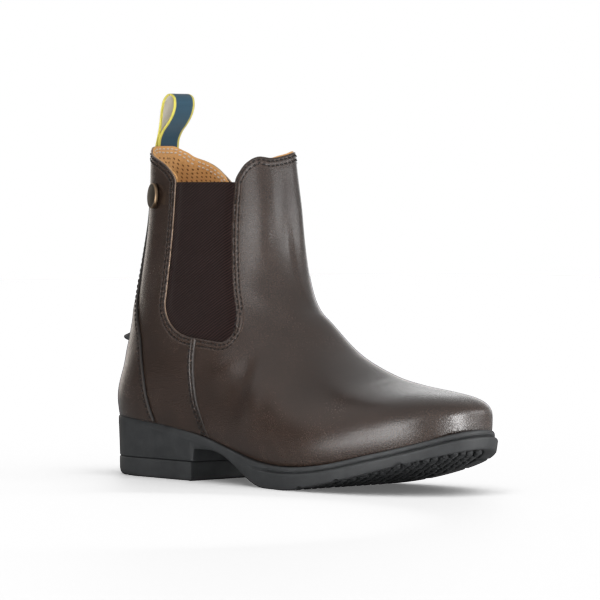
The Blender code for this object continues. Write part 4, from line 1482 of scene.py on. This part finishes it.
# size and rise of each ring, as shares of the nub's own
NUB_SIZE, NUB_RISE = np.array([1.0, 0.94, 0.76, 0.4]), np.array([-0.35, 0.4, 0.82, 1.0])
FIELD_ALONG, FIELD_ACROSS = (168, 280), (-60, 60)


def nub_shape():
    """Points of a squat dome: rings that shrink and rise as a quarter ellipse."""
    turn = np.linspace(0, 2 * np.pi, NUB_POINTS, endpoint=False)
    ring = np.stack([np.cos(turn) * NUB_LENGTH / 2, np.sin(turn) * NUB_WIDTH / 2, 0 * turn], -1)
    points = ring[None] * NUB_SIZE[:, None, None]
    points[..., 2] = (-NUB_RISE * NUB_HEIGHT)[:, None]
    return points.reshape(-1, 3)


chance = np.random.default_rng(NUB_SEED)
along_steps, across_steps = np.arange(*FIELD_ALONG, NUB_ROW_PITCH), np.arange(*FIELD_ACROSS, NUB_PITCH)
grid_x, grid_y = np.meshgrid(along_steps, across_steps, indexing="ij")
grid_y = grid_y + np.where(np.arange(len(grid_x)) % 2, NUB_PITCH / 2, 0)[:, None]
stray = chance.uniform(-NUB_STRAY, NUB_STRAY, (grid_x.size, 2))
spots = np.stack([grid_x.ravel(), grid_y.ravel()], -1) + stray
field = inset(loop, np.full(len(loop), WALL_DRAFT + WALL_BEVEL + RIM_WIDTH + NUB_MARGIN))
inside = -distance_to(field, np.stack([spots[:, 0], 0 * spots[:, 0], spots[:, 1]], -1))
spots = spots[(inside > 0) & (spots[:, 0] > TREAD_FULL + 1)]
tilt = np.gradient(sole_under(np.array([spots[:, 0] - 0.5, spots[:, 0] + 0.5])), axis=0)[0]
shape = nub_shape()
swing = chance.uniform(0, np.pi, len(spots))[:, None]
swell = chance.uniform(*NUB_SWELL, len(spots))[:, None]
spun_x = swell * (shape[None, :, 0] * np.cos(swing) - shape[None, :, 1] * np.sin(swing))
spun_y = swell * (shape[None, :, 0] * np.sin(swing) + shape[None, :, 1] * np.cos(swing))
level = sole_under(spots[:, :1]) + TREAD_DEPTH + shape[None, :, 2] + tilt[:, None] * spun_x
points = np.stack([spots[:, :1] + spun_x, spots[:, 1:] + spun_y, level], -1)
faces = tube_faces(len(NUB_SIZE), NUB_POINTS, len(spots))
nubs = add_piece("tread_nubs", points, faces, RUBBER, body_slot="rubber")
turn_outwards(nubs).data.set_sharp_from_angle(angle=NUB_CREASE)

# %% [markdown]
# The heel has a separate lift, with a fine groove above it and shallow notches along its lower edge. Its
# foot is worn rounder towards the back. Like the sole, it is a stack of plan loops, so the rounding is
# one factor on the lowest loops.

# %% Heel lift
LIFT_NOTCHES = np.array([2.0, 6.5, 12.0, 18.0])
LIFT_NOTCH_DEPTH, LIFT_NOTCH_WIDTH, WORN = 0.9, 0.8, 1.4
heel_loop = plan_loop(stations[stations <= BREAST])
bite = LIFT_NOTCH_DEPTH * np.exp(-(((heel_loop[:, :1] - LIFT_NOTCHES) / LIFT_NOTCH_WIDTH) ** 2)).sum(1)
worn = 1 + WORN * smoothstep(45, 12, heel_loop[:, 0])
# inset of each level, and its height
lift_levels = [
    (2.4, LIFT_HEIGHT),
    (1.3, LIFT_HEIGHT),
    (0.8, LIFT_HEIGHT - 0.25),
    (0.6, LIFT_HEIGHT - 0.8),
    (0.62, LIFT_HEIGHT / 2),
    (WALL_DRAFT, 1.5 * worn),
    (WALL_DRAFT + 0.15 * worn, 0.7 * worn + bite * 0.6),
    (WALL_DRAFT + 0.55 * worn, 0.18 * worn + bite * 0.9),
    (WALL_DRAFT + 1.1 * worn, bite),
    (2.1 + 1.1 * worn, bite * 0.8),
    (3.1 + 1.1 * worn, 0.0),
]
lift_loops = []
for distance, height in lift_levels:
    flat = inset(heel_loop, distance)
    flat[:, 0] = np.minimum(flat[:, 0], BREAST)
    lift_loops.append(np.column_stack([flat, np.full(len(flat), height)]))
lift_loops = np.stack(lift_loops)
lift_piece = add_piece(
    "heel_lift",
    lift_loops,
    moulding_faces(*lift_loops.shape[:2]),
    RUBBER,
    body_slot="rubber",
    stands_for=("heel_top_piece",),
)
turn_outwards(lift_piece).data.set_sharp_from_angle(angle=CREASE_ANGLE)

# %% [markdown]
# ## Fittings
#
# At the back sits a small rubber rest that keeps a spur from sliding down, and beside the collar a brass
# press stud. The rest is a wedge carried round the counter. The stud is turned: a profile of radius and
# height, swept round the leather's normal.

# %% Spur rest
SPUR_HEIGHT, SPUR_WRAP, SPUR_PROUD = 80.2, 27.0, 6.0
SPUR_ROWS, SPUR_LEAST = 61, 0.004
spur_turn = np.radians(SPUR_WRAP) * np.sin(np.linspace(-np.pi / 2, np.pi / 2, SPUR_ROWS))
spur_fade = np.sqrt(np.clip(1 - (spur_turn / np.radians(SPUR_WRAP)) ** 2, SPUR_LEAST, 1))
# share of the reach, and height from the ledge
spur_profile = np.array(
    [(0.0, 2.6), (0.12, 2.5), (0.34, 1.9), (0.62, 1.0), (0.9, 0.1)]
    + [(1.0, -0.4), (1.0, -0.9), (0.9, -1.4), (0.5, -1.7), (0.0, -1.8)]
)
spur_level = SPUR_HEIGHT + spur_profile[None, :, 1] + 0 * spur_turn[:, None]
spur_skin = turned_skin(spur_turn[:, None] + 0 * spur_level, spur_level)
spur_lift = COUNTER_LIFT - EDGE_LIFT + SPUR_PROUD * spur_profile[None, :, 0] * spur_fade[:, None]
spur = add_piece(
    "spur_ledge",
    lay(spur_skin, spur_lift),
    tube_faces(*spur_level.shape),
    RUBBER,
    body_slot="rubber",
    stands_for=("spur_rest",),
)
turn_outwards(spur)


# %% Brass finish
def make_brass():
    """Metal between dark patina and rubbed brass, by the wear stored on the mesh and by noise."""
    material, shader, start = new_material("antique_brass", metallic=1.0)
    wear = value_of(start, "wear")
    patina = noise(start, 420.0, 4.0)
    scratch = noise(start, 2100.0, 2.0)
    shine = (wear * 0.9 + patina * 0.5 - 0.25).smooth(0.1, 0.95)
    colour = shine.pick((0.05, 0.041, 0.028, 1), (0.27, 0.185, 0.115, 1))
    roughness = 0.46 - shine * 0.16 + scratch * 0.12
    feed(shader, base_color=colour, roughness=roughness, normal=bump(start, scratch + patina, 0.00006, 0.5))
    return material


BRASS = make_brass()

# %% Press stud
STUD_PLACE, STUD_RADIUS, STUD_TILT = (37.4, 163.2), 7.5, 0.12
STUD_POINTS, STUD_SEAT = 72, 0.25
# share of the radius, height above the leather, and how rubbed it is
stud_profile = np.array(
    [
        (0.10, 0.0, 0.0),
        (0.95, 0.0, 0.0),
        (0.985, 0.25, 0.4),
        (1.0, 0.6, 0.9),
        (1.0, 1.5, 0.9),
        (0.985, 1.85, 1.0),
        (0.955, 2.05, 0.9),
        (0.91, 2.12, 0.5),
        (0.87, 2.06, 0.15),
        (0.84, 2.02, 0.0),
        (0.80, 2.06, 0.1),
        (0.66, 2.2, 0.25),
        (0.5, 2.32, 0.25),
        (0.3, 2.42, 0.2),
        (0.06, 2.46, 0.2),
    ]
)
seat = side_skin(np.array([[STUD_PLACE[0]]]), np.array([[STUD_PLACE[1]]]), -1)
stud_axis = normals(seat)[0, 0] - [STUD_TILT, 0, 0]
stud_axis /= np.linalg.norm(stud_axis)
level_way = np.cross([0, 0, 1], stud_axis)
level_way /= np.linalg.norm(level_way)
rise_way = np.cross(stud_axis, level_way)
stud_turn = np.linspace(0, 2 * np.pi, STUD_POINTS, endpoint=False)
spokes = np.outer(np.cos(stud_turn), level_way) + np.outer(np.sin(stud_turn), rise_way)
stud_share, stud_rise = stud_profile[:, 0, None, None], stud_profile[:, 1, None, None]
stud_points = seat[0, 0] + STUD_RADIUS * stud_share * spokes[None] + (STUD_SEAT + stud_rise) * stud_axis
stud = add_piece(
    "brass_stud",
    stud_points,
    tube_faces(*stud_points.shape[:2]),
    BRASS,
    values={"wear": np.repeat(stud_profile[:, 2], STUD_POINTS)},
    body_slot="brass",
    stands_for=("press_stud",),
)
turn_outwards(stud)

# %% [markdown]
# ## The pull loop
#
# A woven ribbon stands in a loop over the back collar. Outside it is petrol blue with a yellow edge on
# each side, inside it is a pale grey. It is a flat section carried along a path in side view, with a UV
# map that runs across and along the ribbon in millimetres.


# %% Ribbon finish
def make_ribbon():
    """Weave from two sine waves of the UV map and fuzz. The colour is blue or grey by the ribbon's face,
    and yellow past a distance from its middle."""
    material, shader, start = new_material("woven_ribbon", specular_ior_level=0.3, sheen_weight=0.15)
    across, gone = laid_out(start)
    weft = (gone * 9.5).take("SINE") * 0.5 + 0.5
    warp = (across * 8.0).take("SINE") * 0.5 + 0.5
    fuzz = noise(start, 2600.0, 2.0)
    weave = weft * 0.55 + warp * 0.3 + fuzz * 0.3
    tone = weave.smooth(0.1, 1.0)
    blue = tone.pick((0.008, 0.03, 0.052, 1), (0.028, 0.095, 0.15, 1))
    grey = tone.pick((0.5, 0.47, 0.4, 1), (0.74, 0.7, 0.62, 1))
    yellow = tone.pick((0.5, 0.43, 0.05, 1), (0.74, 0.67, 0.15, 1))
    face = value_of(start, "face").smooth(0.4, 0.6).pick(grey, blue)
    colour = abs(across).smooth(6.35, 6.6).pick(face, yellow)
    roughness = 0.6 + fuzz * 0.2
    surface = bump(start, weave, 0.00022, 0.9)
    feed(shader, base_color=colour, roughness=roughness, normal=surface)
    return material


RIBBON = make_ribbon()

# %% The ribbon's path and section
LOOP_PATH = np.array(
    [
        (21.0, 177.0),
        (21.0, 184.0),
        (21.2, 190.5),
        (22.8, 196.0),
        (24.8, 202.0),
        (26.2, 208.5),
        (27.4, 214.5),
        (30.0, 220.2),
        (34.0, 222.6),
        (37.6, 220.8),
        (38.4, 216.6),
        (36.8, 211.8),
        (32.4, 206.0),
        (27.2, 200.8),
        (24.9, 196.6),
        (24.3, 192.8),
        (24.2, 188.5),
    ]
)
LOOP_WIDTH, LOOP_MIDDLE, RIBBON_HALF = 16.0, 0.9, 0.45
RIBBON_ROWS, RIBBON_COLUMNS, SELVEDGE = 190, 21, 0.14
SAG, SAG_LENGTH = 0.25, 9.0
path_gone = np.concatenate([[0], np.cumsum(np.linalg.norm(np.diff(LOOP_PATH, axis=0), axis=1))])
loop_table = Table({"gone": 1, "along": 1, "height": 1}, np.column_stack([path_gone, LOOP_PATH]))
loop_at = np.linspace(0, path_gone[-1], RIBBON_ROWS)
loop_line = np.stack([loop_table.read("along", loop_at), loop_table.read("height", loop_at)], -1)
loop_run = np.gradient(loop_line, axis=0)
loop_side = np.stack([-loop_run[:, 1], loop_run[:, 0]], -1)
loop_side /= np.linalg.norm(loop_run, axis=1, keepdims=True)
# the ribbon's section: half as thick at its edges, which round off as quarter circles
reach = np.linspace(-1, 1, RIBBON_COLUMNS)
rounding = np.sqrt(1 - np.clip((np.abs(reach) - 1 + SELVEDGE) / SELVEDGE, 0, 1) ** 2)
thick = RIBBON_HALF * (0.55 + 0.45 * rounding)
section = np.concatenate([np.stack([thick, reach], -1), np.stack([-thick, reach], -1)[::-1]])
sag = LOOP_MIDDLE + SAG * np.sin(loop_at / SAG_LENGTH)
grid = (len(loop_at), len(section))
out = np.broadcast_to(section[:, 0], grid)
across = np.broadcast_to(section[:, 1] * LOOP_WIDTH / 2, grid)
ribbon_points = np.stack(
    [
        loop_line[:, None, 0] + loop_side[:, None, 0] * out,
        across + sag[:, None],
        loop_line[:, None, 1] + loop_side[:, None, 1] * out,
    ],
    -1,
)
ribbon = add_piece(
    "pull_ribbon",
    ribbon_points,
    tube_faces(*grid),
    RIBBON,
    uv=np.stack([across, np.broadcast_to(loop_at[:, None], grid)], -1),
    values={"face": (out > 0) * 1.0},
    body_slot="ribbon",
    stands_for=("pull_loop",),
)
turn_outwards(ribbon)

# %% [markdown]
# ## The insole
#
# The insole board is a solid whose shape is right already, so it stays, with a tan leather finish of its
# own.


# %% Insole finish
def make_insole():
    """Tan leather: slow blotches and fine grain between two browns."""
    material, shader, start = new_material("tan_insole", specular_ior_level=0.3)
    blotch = noise(start, 45.0, 4.0)
    fine = noise(start, 1100.0, 3.0)
    tone = (blotch * 0.7 + fine * 0.3).smooth(0.25, 0.75)
    colour = tone.pick((0.3, 0.14, 0.05, 1), (0.5, 0.25, 0.095, 1))
    feed(shader, base_color=colour, roughness=0.6 + fine * 0.15, normal=bump(start, fine, 0.0002, 0.5))
    return material


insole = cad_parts["insole"]
insole.data.materials.clear()
insole.data.materials.append(make_insole())

# %% [markdown]
# ## Studio
#
# The boot stands on a plain white floor in soft light. A wide box to the left of the camera and a smaller
# one to its right light it, a warm one stands behind its left edge, and two low strips draw the lights
# along the sole and the toe. Two white sheets on the floor are there for the leather to mirror, and the
# white room has a dark curtain on the left, so that the gloss has a dark side. Two suns light the floor
# alone: one is shaded by the sole and the lift, so that the boot keeps a soft shadow, and the other by
# nothing on the boot. The camera keeps the photograph's angle: far off with a long lens, a little above
# the boot's middle.

# %% The floor and its suns
# white sheets on the floor, which the leather mirrors: middle, full radius and outer radius in metres
SHEETS = [((0.11, -0.255, 0.0), 0.11, 0.19), ((0.30, 0.035, 0.0), 0.05, 0.11)]
SHEET_WHITE, FLOOR_HALF = 0.86, 4.0
# suns that light the floor alone: power, and what casts their shadows
FLOOR_SUNS = {"floor_light": (15.5, ("sole_unit", "heel_lift")), "floor_fill": (8.0, ("floor",))}
SUN_WAY, SUN_SPREAD = (-0.45, 0.15, -0.88), np.radians(80)


def aim(name, data, where, way):
    """A light or a camera placed at a point, looking along a direction."""
    holder = bpy.data.objects.new(name, data)
    holder.location = where
    holder.rotation_euler = Vector(way).to_track_quat("-Z", "Y").to_euler()
    bpy.context.scene.collection.objects.link(holder)
    return holder


def make_floor():
    """A square that catches shadows: nearly black but for the sheets, each white within its full radius
    and fading out at its outer one."""
    material, shader, start = new_material("white_floor", roughness=0.7, specular_ior_level=0.2)
    spot = place(start)
    along = start.node("ShaderNodeSeparateXYZ", {}, {"Vector": spot}, 0)
    white = 0.02 + along.smooth(-0.05, 0.1) * 0.03
    for centre, inner, outer in SHEETS:
        sockets = {0: spot, 1: centre}
        away = start.node("ShaderNodeVectorMath", {"operation": "DISTANCE"}, sockets, "Value")
        white = white + (1 - away.smooth(inner, outer)) * SHEET_WHITE
    feed(shader, base_color=white.pick((0.0, 0.0, 0.0, 1), (1.0, 1.0, 1.0, 1)))
    mesh = bpy.data.meshes.new("floor")
    corners = np.array([(-1, -1, 0), (1, -1, 0), (1, 1, 0), (-1, 1, 0)]) * FLOOR_HALF
    mesh.from_pydata(corners.tolist(), [], [(0, 1, 2, 3)])
    mesh.materials.append(material)
    floor = bpy.data.objects.new("floor", mesh)
    bpy.context.scene.collection.objects.link(floor)
    floor.is_shadow_catcher = True
    return floor


lit = bpy.data.collections.new("floor_only")
lit.objects.link(make_floor())
for name, (power, casters) in FLOOR_SUNS.items():
    sun = bpy.data.lights.new(name, "SUN")
    sun.energy, sun.angle = power, SUN_SPREAD
    linking = aim(name, sun, (0, 0, 0), SUN_WAY).light_linking
    linking.receiver_collection = lit
    linking.blocker_collection = bpy.data.collections.new(name + "_blockers")
    for caster in casters:
        linking.blocker_collection.objects.link(bpy.data.objects[caster])
print("suns on the floor:", len(FLOOR_SUNS))

# %% Soft boxes round the boot
AZIMUTH = np.radians(47.342)
UP = np.array([0.0, 0.0, 1.0])
right = np.array([np.cos(AZIMUTH), np.sin(AZIMUTH), 0.0])
near = np.array([np.sin(AZIMUTH), -np.cos(AZIMUTH), 0.0])
MIDDLE = 0.09 * UP
# turn to the camera's right and rise in degrees, distance, width and height in metres, power, colour
SOFT_BOXES = {
    "left_box": (-34, 8, 1.25, (1.5, 0.42), 4.5, (1, 1, 1)),
    "right_box": (90, 8, 1.3, (0.5, 0.4), 3.0, (1, 1, 1)),
    "left_edge": (-150, 5, 1.5, (0.5, 0.6), 1.0, (1, 0.9, 0.8)),
    "left_strip": (-38, -4.5, 0.75, (0.7, 0.06), 1.7, (1, 1, 1)),
    "toe_strip": (56, -6, 0.5, (0.12, 0.05), 0.8, (1, 1, 1)),
}


def way_to(turn_degrees, rise_degrees):
    """Direction from the boot: turned from the camera to its right, and raised, by degrees."""
    turn, rise = np.radians(turn_degrees), np.radians(rise_degrees)
    return (near * np.cos(turn) + right * np.sin(turn)) * np.cos(rise) + UP * np.sin(rise)


for name, (turned, raised, distance, size, power, colour) in SOFT_BOXES.items():
    box = bpy.data.lights.new(name, "AREA")
    box.shape = "RECTANGLE"
    box.size, box.size_y = size
    box.energy, box.color = power, colour
    way = way_to(turned, raised)
    aim(name, box, MIDDLE + way * distance, -way)
print("soft boxes:", ", ".join(SOFT_BOXES))

# %% The white room
room = bpy.data.worlds.new("white_room")
room.use_nodes = True
start = Shade(room.node_tree)
seen = start.node("ShaderNodeTexCoord", output="Generated")


def towards(turn_degrees, rise_degrees):
    """How far a line of sight points to one side of the room: the cosine between the two."""
    sockets = {0: seen, 1: tuple(way_to(turn_degrees, rise_degrees))}
    return start.node("ShaderNodeVectorMath", {"operation": "DOT_PRODUCT"}, sockets, 1)


up = start.node("ShaderNodeSeparateXYZ", {}, {0: seen}, 2)
curtain = towards(-104, 0).smooth(0.45, 0.85) * (1 - up.smooth(0.15, 0.4))
backdrop = towards(172, 2).smooth(0.89, 0.99)
walls = (0.56 + towards(0, 0).smooth(-0.2, 0.6) * 0.34) * (1 - curtain * 0.9) + backdrop * 0.95
# what the camera sees straight on is plain white
direct = start.node("ShaderNodeLightPath", output="Is Camera Ray")
strength = walls + direct * (1 - walls)
shine = room.node_tree.nodes["Background"]
shine.inputs["Color"].default_value = (1.0, 1.0, 1.0, 1.0)
feed(shine, strength=strength)
bpy.context.scene.world = room
bpy.context.scene.view_settings.view_transform = "Standard"
print("room:", len(room.node_tree.nodes), "nodes")

# %% The camera
PHOTO_SIDE, SENSOR_WIDTH = 600, 36.0
FOCAL_PIXELS, DISTANCE, EYE_HEIGHT = 4132.0, 2354.4, 168.6
AIM_ALONG, AIM_COLUMN, HORIZON_ROW = 130.0, 289.03, 186.62
eye = np.array([AIM_ALONG - SOLE_LENGTH / 2, -SOLE_MIDDLE, EYE_HEIGHT]) + near * DISTANCE
sight = -near + right * (PHOTO_SIDE / 2 - AIM_COLUMN) / FOCAL_PIXELS
sight = sight - UP * (PHOTO_SIDE / 2 - HORIZON_ROW) / FOCAL_PIXELS
lens = bpy.data.cameras.new("camera")
lens.sensor_width = SENSOR_WIDTH
lens.lens = FOCAL_PIXELS / PHOTO_SIDE * SENSOR_WIDTH
bpy.context.scene.camera = aim("camera", lens, eye * METRE, sight)
print("camera:", np.round(eye), "mm")
